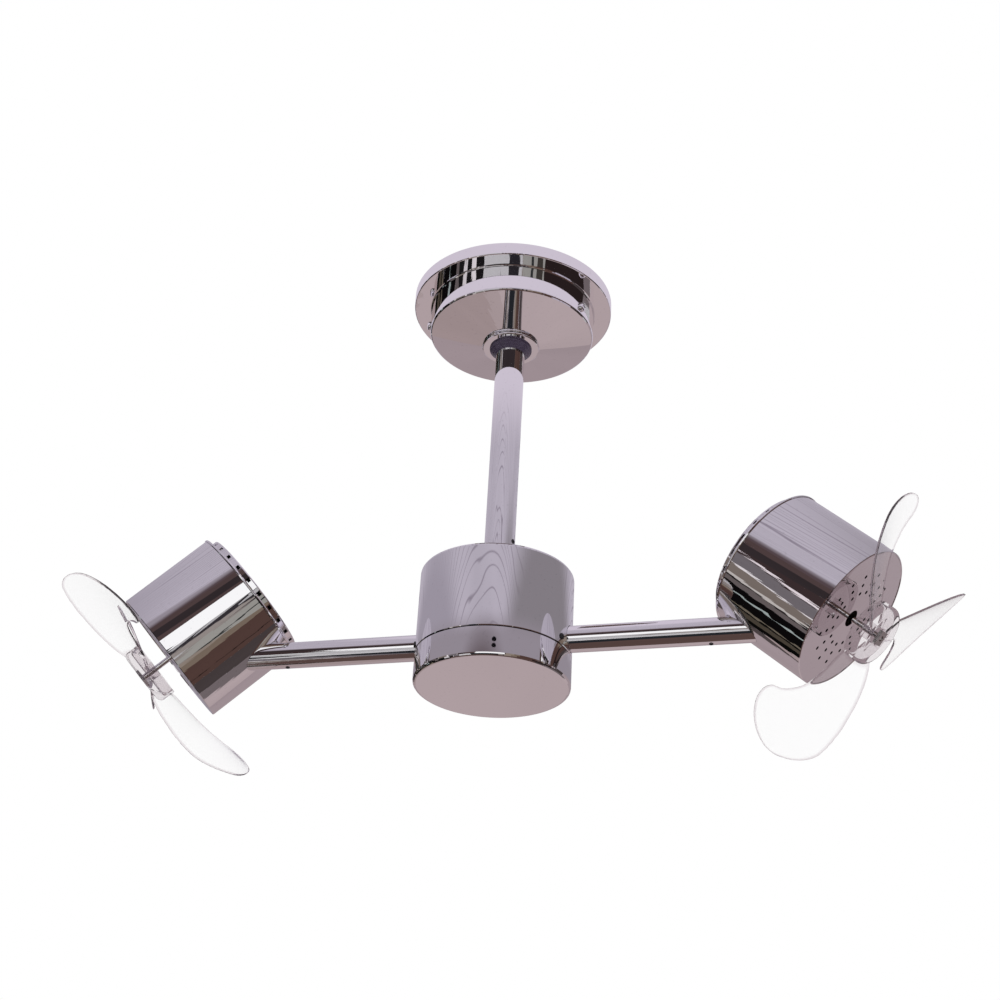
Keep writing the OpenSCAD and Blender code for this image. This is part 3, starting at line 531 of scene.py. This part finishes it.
# Finishes with a grain, by slot: name, the grain's values, bump (strength, m), constants
GRAINED = {
    "zinc_steel": (
        "Zinc plated steel",
        {"Scale": 260.0, "Stretch": (1, 1, 6), "Light": (0.66, 0.66, 0.64, 1),
         "Dark": (0.50, 0.50, 0.49, 1), "Least roughness": 0.24, "Most roughness": 0.42},
        (0.15, 0.0003), {"Metallic": 1.0}),
    "die_cast": (
        "Cast aluminium",
        {"Scale": 900.0, "Light": (0.70, 0.70, 0.69, 1), "Dark": (0.52, 0.52, 0.52, 1),
         "Least roughness": 0.42, "Most roughness": 0.62},
        (0.35, 0.0005), {"Metallic": 1.0}),
    "black_screw": (
        "Black oxide",
        {"Scale": 1200.0, "Light": (0.075, 0.072, 0.075, 1), "Dark": (0.03, 0.03, 0.032, 1),
         "Least roughness": 0.25, "Most roughness": 0.45},
        (0.2, 0.0002), {"Metallic": 0.7}),
    "dark_rubber": (
        "Dark rubber",
        {"Scale": 700.0, "Light": (0.085, 0.065, 0.105, 1), "Dark": (0.04, 0.03, 0.055, 1),
         "Least roughness": 0.12, "Most roughness": 0.25},
        (0.12, 0.0003), {}),
    "nylon": (
        "Natural nylon",
        {"Scale": 400.0, "Light": (0.88, 0.87, 0.82, 1), "Dark": (0.78, 0.77, 0.71, 1),
         "Least roughness": 0.45, "Most roughness": 0.6},
        (0.15, 0.0003), {"Subsurface Weight": 0.1}),
    "black_case": (
        "Black moulded case",
        {"Scale": 900.0, "Light": (0.07, 0.07, 0.08, 1), "Dark": (0.04, 0.04, 0.045, 1),
         "Least roughness": 0.45, "Most roughness": 0.6},
        (0.3, 0.0003), {}),
    "copper": (
        "Copper",
        {"Scale": 500.0, "Stretch": (1, 1, 8), "Light": (0.78, 0.45, 0.26, 1),
         "Dark": (0.52, 0.25, 0.13, 1), "Least roughness": 0.25, "Most roughness": 0.4},
        (0.3, 0.0004), {"Metallic": 1.0}),
    "brass": (
        "Turned brass",
        {"Scale": 600.0, "Stretch": (1, 1, 5), "Light": (0.82, 0.67, 0.36, 1),
         "Dark": (0.66, 0.52, 0.26, 1), "Least roughness": 0.2, "Most roughness": 0.35},
        (0.15, 0.0003), {"Metallic": 1.0}),
    "laminated_iron": (
        "Laminated iron",
        {"Scale": 250.0, "Stretch": (0.2, 0.2, 12), "Light": (0.42, 0.42, 0.43, 1),
         "Dark": (0.24, 0.24, 0.26, 1), "Least roughness": 0.35, "Most roughness": 0.55},
        (0.4, 0.0005), {"Metallic": 1.0}),
}


def build_materials(finish):
    """Every finish of the fan, by the record's slot names."""
    plate = plated_group()
    grain = grain_group()
    MATERIALS["chrome_plate"] = chrome_material(plate, finish)
    for slot, (name, values, bump, constants) in GRAINED.items():
        MATERIALS[slot] = principled(name, grain, values, bump, constants)
    MATERIALS["clear_plastic"] = clear_material(plate, finish)


def chrome_material(plate, finish):
    """Bright chrome plate, mirror smooth with a faint ripple."""
    return principled(
        "Chrome plate", plate,
        {"Tone": tuple(finish.chrome_tone) + (1,),
         "Dull tone": tuple(0.9 * c for c in finish.chrome_tone) + (1,),
         "Ripple scale": 30.0, "Haze scale": 7.0, "Least roughness": finish.chrome_roughness,
         "Most roughness": finish.chrome_roughness * 2.5},
        (finish.chrome_ripple, 0.001), {"Metallic": 1.0})


def clear_material(plate, finish):
    """Clear plastic, tinted where the moulding is thick, with shade painted along the blades' rims in place of the
    darker outline that a clear edge shows by refraction.
    """
    material = principled(
        "Clear plastic", plate,
        {"Tone": tuple(finish.clear_tone) + (1,),
         "Dull tone": tuple(0.99 * c for c in finish.clear_tone) + (1,),
         "Ripple scale": 40.0, "Haze scale": 14.0, "Least roughness": 0.0,
         "Most roughness": 0.01},
        (0.005, 0.0006), {"Metallic": 0.0, "Transmission Weight": 0.96, "IOR": 1.04})
    tree = material.node_tree
    shader = tree.nodes["Principled BSDF"]
    # The attribute gives the share of painted shade at the rims and of tint on the hub
    tint_and_rim_shade = tree.nodes.new("ShaderNodeAttribute")
    tint_and_rim_shade.attribute_name = "tint_and_rim_shade"
    mix = tree.nodes.new("ShaderNodeMix")
    mix.data_type = "RGBA"
    plain = shader.inputs["Base Color"].links[0].from_socket
    tree.links.new(tint_and_rim_shade.outputs["Fac"], mix.inputs["Factor"])
    tree.links.new(plain, mix.inputs["A"])
    mix.inputs["B"].default_value = tuple(finish.rim_shade_tone) + (1,)
    tree.links.new(mix.outputs["Result"], shader.inputs["Base Color"])
    return material


# ---------------------------------------------------------------- stage

DOME_CENTRE = Vector((0, 0, -0.35))
DOME_RADIUS = 1.6
CARD_SPACING = 0.002  # how much further out each card lies than the one before it
EDGE_STEP = 0.25  # degrees between two points of a ragged edge
PLAIN_STEP = 4  # degrees between two points of an even edge
# Waves of a card's side edge: height in degrees, waves per degree, layer of the noise
EDGE_WAVES = ((2.0, 0.13, 0), (2.4, 1.1, 4), (1.7, 3.4, 9))
SEED_PER_DEGREE = 0.37  # how fast the edges' noise changes from one azimuth to the next
# Cards round the fan: name, azimuths and elevations in degrees, colour, raggedness. A card
# hides those after it; raggedness 0 is straight, and above 1 the top is ragged as well.
WALL_CARDS = [
    ("far_ceiling", -180, 180, 26, 90, (128, 122, 128), 0.0),
    ("far_floor", -180, 180, -90, -60, (86, 68, 64), 0.0),
    ("back_wall", 40, 132, -20, 26, (160, 145, 149), 1.0),
    ("back_wall_foot", 62, 113, -60, -20, (178, 162, 164), 1.0),
    ("back_wall_turn", 113, 119, -60, -20, (169, 153, 154), 1.0),
    ("back_wall_shade", 119, 141, -60, -20, (161, 144, 144), 1.0),
    ("side_glow", 132, 141, -26, 26, (76, 68, 68), 1.0),
    ("rag_gleam", 211, 215, -35, -24.5, (206, 200, 202), 2.0),
    ("rag_gleam_two", 224, 227, -35, -24.5, (222, 216, 218), 2.0),
    ("rag_dark", 203, 236, -35, -24.5, (26, 24, 26), 2.0),
    ("rag_streak", 307, 309, -35, -24.5, (48, 50, 50), 1.5),
    ("rag_streak_two", 318, 322, -35, -24.5, (62, 58, 54), 1.5),
    ("rag_pale", 298, 325, -35, -24.5, (152, 150, 145), 1.5),
    ("chest_top", 325, 400, -35, -24.5, (40, 31, 31), 1.0),
    ("shelf_gleam", 180.4, 182.2, -60, 26, (150, 160, 158), 1.0),
    ("olive_gleam", 218.6, 220.5, -60, 26, (222, 216, 218), 1.0),
    ("beam_gleam", 234.4, 236.2, -12, 14, (226, 216, 220), 1.0),
    ("chest_gap", 352, 353, -60, 26, (24, 18, 17), 1.0),
    ("shelf_dark", 141, 150, -60, 26, (10, 9, 8), 1.0),
    ("shelf_olive", 150, 157, -60, 26, (70, 63, 54), 1.0),
    ("shelf_gap", 157, 160, -60, 26, (8, 8, 8), 1.0),
    ("shelf_light", 160, 163, -60, 26, (104, 96, 84), 1.0),
    ("shelf_black", 163, 194, -60, 26, (12, 10, 11), 1.0),
    ("cupboard", 194, 201, -60, 26, (98, 90, 90), 1.0),
    ("cupboard_edge", 201, 203, -60, 26, (40, 36, 36), 1.0),
    ("cupboard_side", 203, 207, -60, 26, (186, 180, 176), 1.0),
    ("olive_wall", 207, 219, -60, 26, (118, 108, 102), 1.0),
    ("grey_wall", 220.5, 233, -60, 26, (110, 104, 108), 1.0),
    ("brown_beam", 233, 246, -12, 26, (58, 46, 47), 1.0),
    ("brown_panel", 246, 278, 1, 26, (78, 63, 63), 1.0),
    ("warm_panel", 278, 302, 2, 26, (98, 82, 84), 1.0),
    ("window_frame", 300.4, 302, -60, 2, (66, 62, 66), 1.0),
    ("olive_strip", 266, 296, -25.5, -20.5, (146, 138, 134), 2.0),
    ("screen_top", 266, 296, -24, -18.5, (52, 48, 52), 2.6),
    ("olive_low", 296, 303, -60, -18, (138, 130, 126), 2.0),
    ("olive_board", 302, 312, -60, 26, (140, 128, 118), 1.0),
    ("olive_shade", 312, 322, -60, 26, (118, 104, 92), 1.0),
    ("brown_chest", 322, 366, -60, 26, (80, 60, 55), 1.0),
    ("grey_chest", 366, 400, -60, 26, (68, 60, 60), 1.0),
    ("pale_chest", 400, 422, -60, -26, (112, 102, 104), 1.0),
    ("dark_low", 230, 330, -60, -40, (36, 38, 42), 1.0),
    ("dark_screen", 276, 291, -60, -24, (40, 38, 42), 1.0),
]
# A dark strip nearer the fan, which the top of the rod mirrors
NEAR_CARD = ("near_wall", 222, 322, 5.4, 12.6, (50, 43, 45), 1.0)
NEAR_RADIUS = 0.87

# The board over the fan, in m; its spots are (name, near end, far end) from the rod's axis
BOARD_OUTLINE = ((-1.0, -0.42), (-0.74, -0.86), (-0.3, -1.1), (0.1, -1.16), (0.45, -1.0),
                 (0.80, -0.7), (1.0, -0.3), (1.0, 0.7), (0.3, 1.1), (-0.8, 1.1), (-1.05, 0.3))
BOARD_HEIGHT = 0.004
BOARD_COLOUR = (183, 176, 188)
BOARD_SPOTS = (("board_spot_near", 0.872, 0.888), ("board_spot_far", 0.893, 0.907))
SPOT_AZIMUTH = -75
SPOT_HALF_WIDTH = 0.05
SPOT_POINTS = 24
SPOT_COLOUR = (14, 12, 16)
# How the board's light turns with the distance from the rod's axis or with x or y: where
# each tone starts, where it is full, and its colour
BOARD_SHADES = (("distance", 0.3, 0.15, (208, 199, 212)),
                ("x", 0.3, 0.6, (134, 128, 134)),
                ("x", -0.45, -0.7, (158, 151, 163)),
                ("distance", 0.79, 0.88, (148, 140, 149)),
                ("y", -0.78, -1.02, (84, 70, 74)))
# The board's grain: lines per m, how many lines a swell of the noise pushes aside, the
# noise's scale and how much of it counts along X, a line's half width in spacings, its colour
GRAIN_PER_M = 24.0
GRAIN_SWELL = 9.0
GRAIN_NOISE = 4.0
GRAIN_ALONG = 0.22
GRAIN_HALF_WIDTH = 0.11
GRAIN_STRENGTH = 0.55
GRAIN_TONE = (0.12, 0.09, 0.13, 1)
# Mottle of the cards: scale of its noise and share by which it turns the tone
WALL_MOTTLE = (2.5, 0.12)
BOARD_MOTTLE = (1.6, 0.16)
SPOT_MOTTLE = (3.0, 0.1)

# Lamps: name, place and size in m, power in W
LAMPS = (("key_lamp", (-0.9, -1.6, 0.9), 1.4, 22),
         ("fill_lamp", (1.6, -1.2, -1.2), 1.6, 14),
         ("rim_lamp", (0.6, 1.8, 0.8), 1.2, 14))
LAMPS_AIM = (0, 0, -0.3)
SKY_TONE = (0.80, 0.79, 0.81, 1)
SKY_STRENGTH = 0.6


def card_material(name, tone, mottling, grained=False):
    """A glowing card with a soft mottle and, if asked, the board's grain and shades.

    It shows in polished metal, also through clear plastic, and is clear to the camera."""
    scale, depth = mottling
    material = bpy.data.materials.new(name)
    material.use_nodes = True
    tree = material.node_tree
    tree.nodes.clear()
    place = tree.nodes.new("ShaderNodeTexCoord")
    mottle = tree.nodes.new("ShaderNodeTexNoise")
    mottle.inputs["Scale"].default_value = scale
    mottle.inputs["Detail"].default_value = 3.0
    tree.links.new(place.outputs["Object"], mottle.inputs["Vector"])
    mix = tree.nodes.new("ShaderNodeMix")
    mix.data_type = "RGBA"
    mix.inputs["A"].default_value = tuple(c * (1 - depth) for c in tone) + (1,)
    mix.inputs["B"].default_value = tuple(min(1.0, c * (1 + depth)) for c in tone) + (1,)
    tree.links.new(mottle.outputs["Fac"], mix.inputs["Factor"])
    colour = mix.outputs["Result"]
    if grained:
        colour = board_shade(tree, place, grain_lines(tree, place, colour))
    glow = tree.nodes.new("ShaderNodeEmission")
    tree.links.new(colour, glow.inputs["Color"])
    path = tree.nodes.new("ShaderNodeLightPath")
    mirrored = math_node(tree, "GREATER_THAN", path.outputs["Glossy Depth"], 0.5)
    pass_by = tree.nodes.new("ShaderNodeBsdfTransparent")
    choose = tree.nodes.new("ShaderNodeMixShader")
    tree.links.new(mirrored, choose.inputs["Fac"])
    tree.links.new(pass_by.outputs["BSDF"], choose.inputs[1])
    tree.links.new(glow.outputs["Emission"], choose.inputs[2])
    leave = tree.nodes.new("ShaderNodeOutputMaterial")
    tree.links.new(choose.outputs["Shader"], leave.inputs["Surface"])
    return material


def shade_past(tree, value, start, end, colour, tone):
    """A colour that turns softly to a tone as a value goes from start to end."""
    depth = tree.nodes.new("ShaderNodeMapRange")
    depth.interpolation_type = "SMOOTHSTEP"
    depth.inputs["From Min"].default_value = start
    depth.inputs["From Max"].default_value = end
    tree.links.new(value, depth.inputs["Value"])
    mix = tree.nodes.new("ShaderNodeMix")
    mix.data_type = "RGBA"
    mix.inputs["B"].default_value = tone + (1,)
    tree.links.new(depth.outputs["Result"], mix.inputs["Factor"])
    tree.links.new(colour, mix.inputs["A"])
    return mix.outputs["Result"]


def board_shade(tree, place, colour):
    """The board's light: pale in the middle, greyer far out, dark on the camera's side."""
    flat = tree.nodes.new("ShaderNodeVectorMath")
    flat.operation = "LENGTH"
    tree.links.new(place.outputs["Object"], flat.inputs[0])
    split = tree.nodes.new("ShaderNodeSeparateXYZ")
    tree.links.new(place.outputs["Object"], split.inputs["Vector"])
    measures = {"distance": flat.outputs["Value"], "x": split.outputs["X"],
                "y": split.outputs["Y"]}
    for measure, start, full, tone in BOARD_SHADES:
        colour = shade_past(tree, measures[measure], start, full, colour, srgb(*tone))
    return colour


def grain_lines(tree, place, colour):
    """Thin wood-grain lines along X that wander a little."""
    spread = tree.nodes.new("ShaderNodeVectorMath")
    spread.operation = "MULTIPLY"
    spread.inputs[1].default_value = (GRAIN_ALONG, 1.0, 1.0)
    tree.links.new(place.outputs["Object"], spread.inputs[0])
    field = tree.nodes.new("ShaderNodeTexNoise")
    field.inputs["Scale"].default_value = GRAIN_NOISE
    field.inputs["Detail"].default_value = 2.0
    tree.links.new(spread.outputs["Vector"], field.inputs["Vector"])
    across = tree.nodes.new("ShaderNodeVectorMath")
    across.operation = "DOT_PRODUCT"
    across.inputs[1].default_value = (0, GRAIN_PER_M, 0)
    tree.links.new(place.outputs["Object"], across.inputs[0])
    level = math_node(tree, "MULTIPLY", field.outputs["Fac"], GRAIN_SWELL)
    level = math_node(tree, "ADD", level, across.outputs["Value"])
    level = math_node(tree, "FRACT", level)
    level = math_node(tree, "SUBTRACT", level, 0.5)
    level = math_node(tree, "ABSOLUTE", level)
    line = tree.nodes.new("ShaderNodeMapRange")
    line.interpolation_type = "SMOOTHSTEP"
    line.inputs["From Min"].default_value = GRAIN_HALF_WIDTH
    line.inputs["From Max"].default_value = 0.0
    line.inputs["To Max"].default_value = GRAIN_STRENGTH
    tree.links.new(level, line.inputs["Value"])
    dark = tree.nodes.new("ShaderNodeMix")
    dark.data_type = "RGBA"
    dark.inputs["B"].default_value = GRAIN_TONE
    tree.links.new(line.outputs["Result"], dark.inputs["Factor"])
    tree.links.new(colour, dark.inputs["A"])
    return dark.outputs["Result"]


def only_in_mirrors(obj):
    """The card shows in polished metal and nowhere else."""
    obj.visible_camera = False
    obj.visible_diffuse = False
    obj.visible_volume_scatter = False
    obj.visible_shadow = False


def srgb(*values):
    """Linear colour of an sRGB colour given from 0 to 255."""
    out = []
    for v in values:
        c = v / 255
        out.append(c / 12.92 if c <= 0.04045 else ((c + 0.055) / 1.055) ** 2.4)
    return tuple(out)


def dome_point(azimuth, elevation, radius):
    """Point of the dome in a direction, azimuth from +X towards +Y."""
    a, e = math.radians(azimuth), math.radians(elevation)
    return DOME_CENTRE + radius * Vector(
        (math.cos(e) * math.cos(a), math.cos(e) * math.sin(a), math.sin(e)))


def wander(azimuth, el):
    """How far a card's side edge strays at an elevation, the same for both neighbours."""
    seed = (azimuth % 360) * SEED_PER_DEGREE
    return sum(height * noise.noise(Vector((el * rate, seed, layer)))
               for height, rate, layer in EDGE_WAVES)


def dome_card(name, az0, az1, el0, el1, colour, ragged, order, radius=DOME_RADIUS):
    """A patch of the dome whose side edges, and if very ragged its top, wander a little."""
    ragged_top = ragged > 1
    columns = max(1, int((az1 - az0) / (EDGE_STEP if ragged_top else PLAIN_STEP)))
    rows = max(2, int((el1 - el0) / EDGE_STEP))
    far = radius + CARD_SPACING * order
    bm = bmesh.new()
    grid = []
    for i in range(rows + 1):
        share = i / rows
        el = el0 + (el1 - el0) * share
        start = az0 + ragged * wander(az0, el)
        end = az1 + ragged * wander(az1, el)
        line = []
        for j in range(columns + 1):
            az = start + (end - start) * j / columns
            rise = share * ragged * wander(el1, az) if ragged_top else 0.0
            line.append(bm.verts.new(dome_point(az, el + rise, far)))
        grid.append(line)
    for i in range(rows):
        for j in range(columns):
            bm.faces.new((grid[i][j], grid[i][j + 1], grid[i + 1][j + 1], grid[i + 1][j]))
    material = card_material(name, srgb(*colour), WALL_MOTTLE)
    only_in_mirrors(new_object(name, plain_mesh(bm, name), material))


def mount_board():
    """The board that the fan hangs from, as polished metal shows it."""
    bm = bmesh.new()
    bm.faces.new([bm.verts.new((x, y, BOARD_HEIGHT)) for x, y in BOARD_OUTLINE])
    material = card_material("mount_board", srgb(*BOARD_COLOUR), BOARD_MOTTLE, grained=True)
    only_in_mirrors(new_object("mount_board", plain_mesh(bm, "mount_board"), material))


def board_spot(name, near, far):
    """A dark oval on the board, on the camera's side."""
    bm = bmesh.new()
    angle = math.radians(SPOT_AZIMUTH)
    out = Vector((math.cos(angle), math.sin(angle), 0))
    side = Vector((-math.sin(angle), math.cos(angle), 0))
    ring = []
    for i in range(SPOT_POINTS):
        a = math.tau * i / SPOT_POINTS
        reach = (near + far) / 2 + (far - near) / 2 * math.cos(a)
        ring.append(bm.verts.new(out * reach + side * SPOT_HALF_WIDTH * math.sin(a)))
    bm.faces.new(ring)
    material = card_material(name, srgb(*SPOT_COLOUR), SPOT_MOTTLE)
    only_in_mirrors(new_object(name, plain_mesh(bm, name), material))


def build_world():
    """White for the camera, mirrors and clear plastic; a plain grey light otherwise."""
    world = bpy.data.worlds.new("Studio")
    bpy.context.scene.world = world
    world.use_nodes = True
    tree = world.node_tree
    tree.nodes.clear()
    path = tree.nodes.new("ShaderNodeLightPath")
    seen = math_node(tree, "MAXIMUM", path.outputs["Is Camera Ray"],
                     path.outputs["Is Glossy Ray"])
    seen = math_node(tree, "MAXIMUM", seen, path.outputs["Is Transmission Ray"])
    backdrop = tree.nodes.new("ShaderNodeBackground")
    backdrop.inputs["Color"].default_value = (1, 1, 1, 1)
    light = tree.nodes.new("ShaderNodeBackground")
    light.inputs["Color"].default_value = SKY_TONE
    light.inputs["Strength"].default_value = SKY_STRENGTH
    mix = tree.nodes.new("ShaderNodeMixShader")
    leave = tree.nodes.new("ShaderNodeOutputWorld")
    tree.links.new(seen, mix.inputs["Fac"])
    tree.links.new(light.outputs["Background"], mix.inputs[1])
    tree.links.new(backdrop.outputs["Background"], mix.inputs[2])
    tree.links.new(mix.outputs["Shader"], leave.inputs["Surface"])


def add_lamp(name, where, size, power):
    """A large soft lamp aimed at the fan, not seen in mirrors or through plastic."""
    lamp = bpy.data.lights.new(name, "AREA")
    lamp.shape = "DISK"
    lamp.size = size
    lamp.energy = power
    obj = bpy.data.objects.new(name, lamp)
    obj.location = where
    aim = Vector(LAMPS_AIM) - Vector(where)
    obj.rotation_euler = aim.to_track_quat("-Z", "Y").to_euler()
    obj.visible_glossy = False
    obj.visible_transmission = False
    bpy.context.scene.collection.objects.link(obj)


def build_floor(drop):
    """Plain pale floor far below the fan."""
    bm = bmesh.new()
    bmesh.ops.create_grid(bm, x_segments=1, y_segments=1, size=6.0,
                          matrix=Matrix.Translation((0, 0, -drop)))
    material = bpy.data.materials.new("Pale floor")
    material.use_nodes = True
    tree = material.node_tree
    shader = tree.nodes["Principled BSDF"]
    place = tree.nodes.new("ShaderNodeTexCoord")
    mottle = tree.nodes.new("ShaderNodeTexNoise")
    mottle.inputs["Scale"].default_value = 1.5
    ramp = tree.nodes.new("ShaderNodeMix")
    ramp.data_type = "RGBA"
    ramp.inputs["A"].default_value = (0.84, 0.83, 0.83, 1)
    ramp.inputs["B"].default_value = (0.88, 0.87, 0.87, 1)
    tree.links.new(place.outputs["Object"], mottle.inputs["Vector"])
    tree.links.new(mottle.outputs["Fac"], ramp.inputs["Factor"])
    tree.links.new(ramp.outputs["Result"], shader.inputs["Base Color"])
    shader.inputs["Roughness"].default_value = 0.9
    new_object("floor", plain_mesh(bm, "floor"), material)


# ---------------------------------------------------------------- settings

class FanFinish(bpy.types.PropertyGroup):
    """Tones and roughness of the finishes."""
    chrome_tone: FloatVectorProperty(
        name="Chrome tone", description="Colour of the chrome plate", subtype="COLOR",
        default=(0.93, 0.92, 0.94), min=0, max=1)
    chrome_roughness: FloatProperty(
        name="Chrome roughness", description="Least roughness of the plate",
        default=0.012, min=0, max=1)
    chrome_ripple: FloatProperty(
        name="Chrome ripple", description="How far the plate's ripple bends reflections",
        default=0.02, min=0, max=1)
    clear_tone: FloatVectorProperty(
        name="Clear plastic tone", description="Tint of the propellers", subtype="COLOR",
        default=(0.998, 0.995, 0.997), min=0, max=1)
    # Tone of the shade painted along the blades' rims, also used as the hub's tint
    rim_shade_tone: FloatVectorProperty(
        name="Rim tone", description="Tint of the propellers' rims and hubs", subtype="COLOR",
        default=(0.66, 0.59, 0.62), min=0, max=1)


class FanSizes(bpy.types.PropertyGroup):
    """Sizes that the frame leaves to the finish."""
    blade_thick: FloatProperty(
        name="Blade thickness", description="Thickness of a blade at its root",
        default=2.0 * MM, unit="LENGTH", min=0.0005, max=0.004)
    blade_mid: FloatProperty(
        name="Blade height", description="Height of a blade's middle over the motor's front",
        default=23.4 * MM, unit="LENGTH", min=0.015, max=0.035)
    prop_gap: FloatProperty(
        name="Propeller gap", description="From the motor's front to the hub's back",
        default=14.5 * MM, unit="LENGTH", min=0.01, max=0.02)
    prop_hub_r: FloatProperty(
        name="Hub radius", description="Outside radius of the clear hub",
        default=26.3 * MM, unit="LENGTH", min=0.02, max=0.03)
    prop_wall: FloatProperty(
        name="Hub wall", description="Wall of the clear hub",
        default=3.0 * MM, unit="LENGTH", min=0.0015, max=0.005)
    shaft_boss_r: FloatProperty(
        name="Boss radius", description="Radius of the boss on the motor's shaft",
        default=7.0 * MM, unit="LENGTH", min=0.005, max=0.01)
    clip_side: FloatProperty(
        name="Clip side", description="Side of the square clip in the hub's front",
        default=12.0 * MM, unit="LENGTH", min=0.008, max=0.016)
    clip_depth: FloatProperty(
        name="Clip depth", description="Depth of the clip's seat",
        default=3.0 * MM, unit="LENGTH", min=0.001, max=0.005)
    left_turn: FloatProperty(
        name="Left propeller's turn", description="Angle at which the left one stands",
        default=math.radians(-6.0), unit="ROTATION")
    right_turn: FloatProperty(
        name="Right propeller's turn", description="Angle at which the right one stands",
        default=math.radians(23.7), unit="ROTATION")
    floor_drop: FloatProperty(
        name="Floor drop", description="How far the floor lies below the ceiling",
        default=2.0, unit="LENGTH", min=1.2, max=4)


def settings():
    """The fan's settings on the scene."""
    return bpy.context.scene.fan_finish, bpy.context.scene.fan_sizes


# ---------------------------------------------------------------- operators

class FAN_OT_camera(bpy.types.Operator):
    """Place the camera where the photograph was taken"""
    bl_idname = "fan.camera"
    bl_label = "Camera"

    def execute(self, context):
        data = bpy.data.cameras.new("camera")
        data.lens = CAMERA_LENS
        data.sensor_width = CAMERA_SENSOR
        camera = bpy.data.objects.new("camera", data)
        context.scene.collection.objects.link(camera)
        z = -CAMERA_LOOKS.normalized()
        x = CAMERA_UP.cross(z).normalized()
        y = z.cross(x)
        turn = Matrix((x, y, z)).transposed().to_4x4()
        turn.translation = CAMERA_AT
        camera.matrix_world = turn
        context.scene.camera = camera
        return {"FINISHED"}


class FAN_OT_stage(bpy.types.Operator):
    """Build the floor, the white surroundings, the lamps and the mirrored cards"""
    bl_idname = "fan.stage"
    bl_label = "Stage"

    def execute(self, context):
        scene = context.scene
        scene.view_settings.view_transform = "Standard"
        _, sizes = settings()
        build_world()
        build_floor(sizes.floor_drop)
        for order, card in enumerate(WALL_CARDS):
            dome_card(*card, order)
        dome_card(*NEAR_CARD, 0, NEAR_RADIUS)
        mount_board()
        for spot in BOARD_SPOTS:
            board_spot(*spot)
        for lamp in LAMPS:
            add_lamp(*lamp)
        return {"FINISHED"}


class FAN_OT_finishes(bpy.types.Operator):
    """Give every carried-over piece its finish"""
    bl_idname = "fan.finishes"
    bl_label = "Finishes"

    def execute(self, context):
        finish, _ = settings()
        build_materials(finish)
        slots = {part["node"]: part["material_slot"] for part in frame["record"]["subparts"]}
        for node, obj in frame["nodes"].items():
            material = MATERIALS[slots[node]]
            if not obj.data.materials:
                obj.data.materials.append(material)
            for slot in obj.material_slots:
                slot.material = material
        return {"FINISHED"}


class FAN_OT_propellers(bpy.types.Operator):
    """Make the two clear propellers: three blades and a hub in one moulding"""
    bl_idname = "fan.propellers"
    bl_label = "Propellers"

    def execute(self, context):
        _, sizes = settings()
        clear = MATERIALS["clear_plastic"]
        tree = spin_tree(clear)
        for side, turn in (("left", sizes.left_turn), ("right", sizes.right_turn)):
            place = head_matrix(side)
            back, front = hub_place(side, sizes)
            shaft = points_in(place, "motor_shaft_" + side)
            bore = max(p.xy.length for p in shaft) + SHAFT_PLAY
            blades = bake_nodes(blade_mesh(sizes, back - sizes.prop_gap), tree,
                                Count=BLADES, Turn=turn)
            hub = hub_mesh(sizes, back, front, sizes.prop_hub_r, bore)
            mesh = cut(hub, blades.copy(), "UNION")
            tint_hub_and_shade_rims(mesh, blades, sizes)
            bpy.data.meshes.remove(blades)
            mesh.materials.clear()
            smooth(mesh, 40)
            mesh.transform(place)
            obj = new_object("clear_propeller_" + side, mesh, clear)
            carry(obj, "fan_" + side, "clear_plastic", "propeller_" + side)
        return {"FINISHED"}


class FAN_PT_panel(bpy.types.Panel):
    """Lists the fan's settings and the steps that build it"""
    bl_label = "Twin head ceiling fan"
    bl_idname = "FAN_PT_panel"
    bl_space_type = "VIEW_3D"
    bl_region_type = "UI"
    bl_category = "Fan"

    def draw(self, context):
        column = self.layout.column()
        for group in (context.scene.fan_finish, context.scene.fan_sizes):
            for name in group.__annotations__:
                column.prop(group, name)
        for step in STEPS:
            column.operator(step.bl_idname)


STEPS = (FAN_OT_camera, FAN_OT_stage, FAN_OT_finishes, FAN_OT_propellers)
CLASSES = (FanFinish, FanSizes) + STEPS + (FAN_PT_panel,)


def register():
    """Registers the classes and the scene's settings."""
    for cls in CLASSES:
        bpy.utils.register_class(cls)
    bpy.types.Scene.fan_finish = PointerProperty(type=FanFinish)
    bpy.types.Scene.fan_sizes = PointerProperty(type=FanSizes)


def unregister():
    """Takes away what register added."""
    del bpy.types.Scene.fan_sizes
    del bpy.types.Scene.fan_finish
    for cls in reversed(CLASSES):
        bpy.utils.unregister_class(cls)


def main():
    """Builds the fan."""
    register()
    for step in STEPS:
        family, name = step.bl_idname.split(".")
        getattr(getattr(bpy.ops, family), name)()


if __name__ == "__main__":
    main()
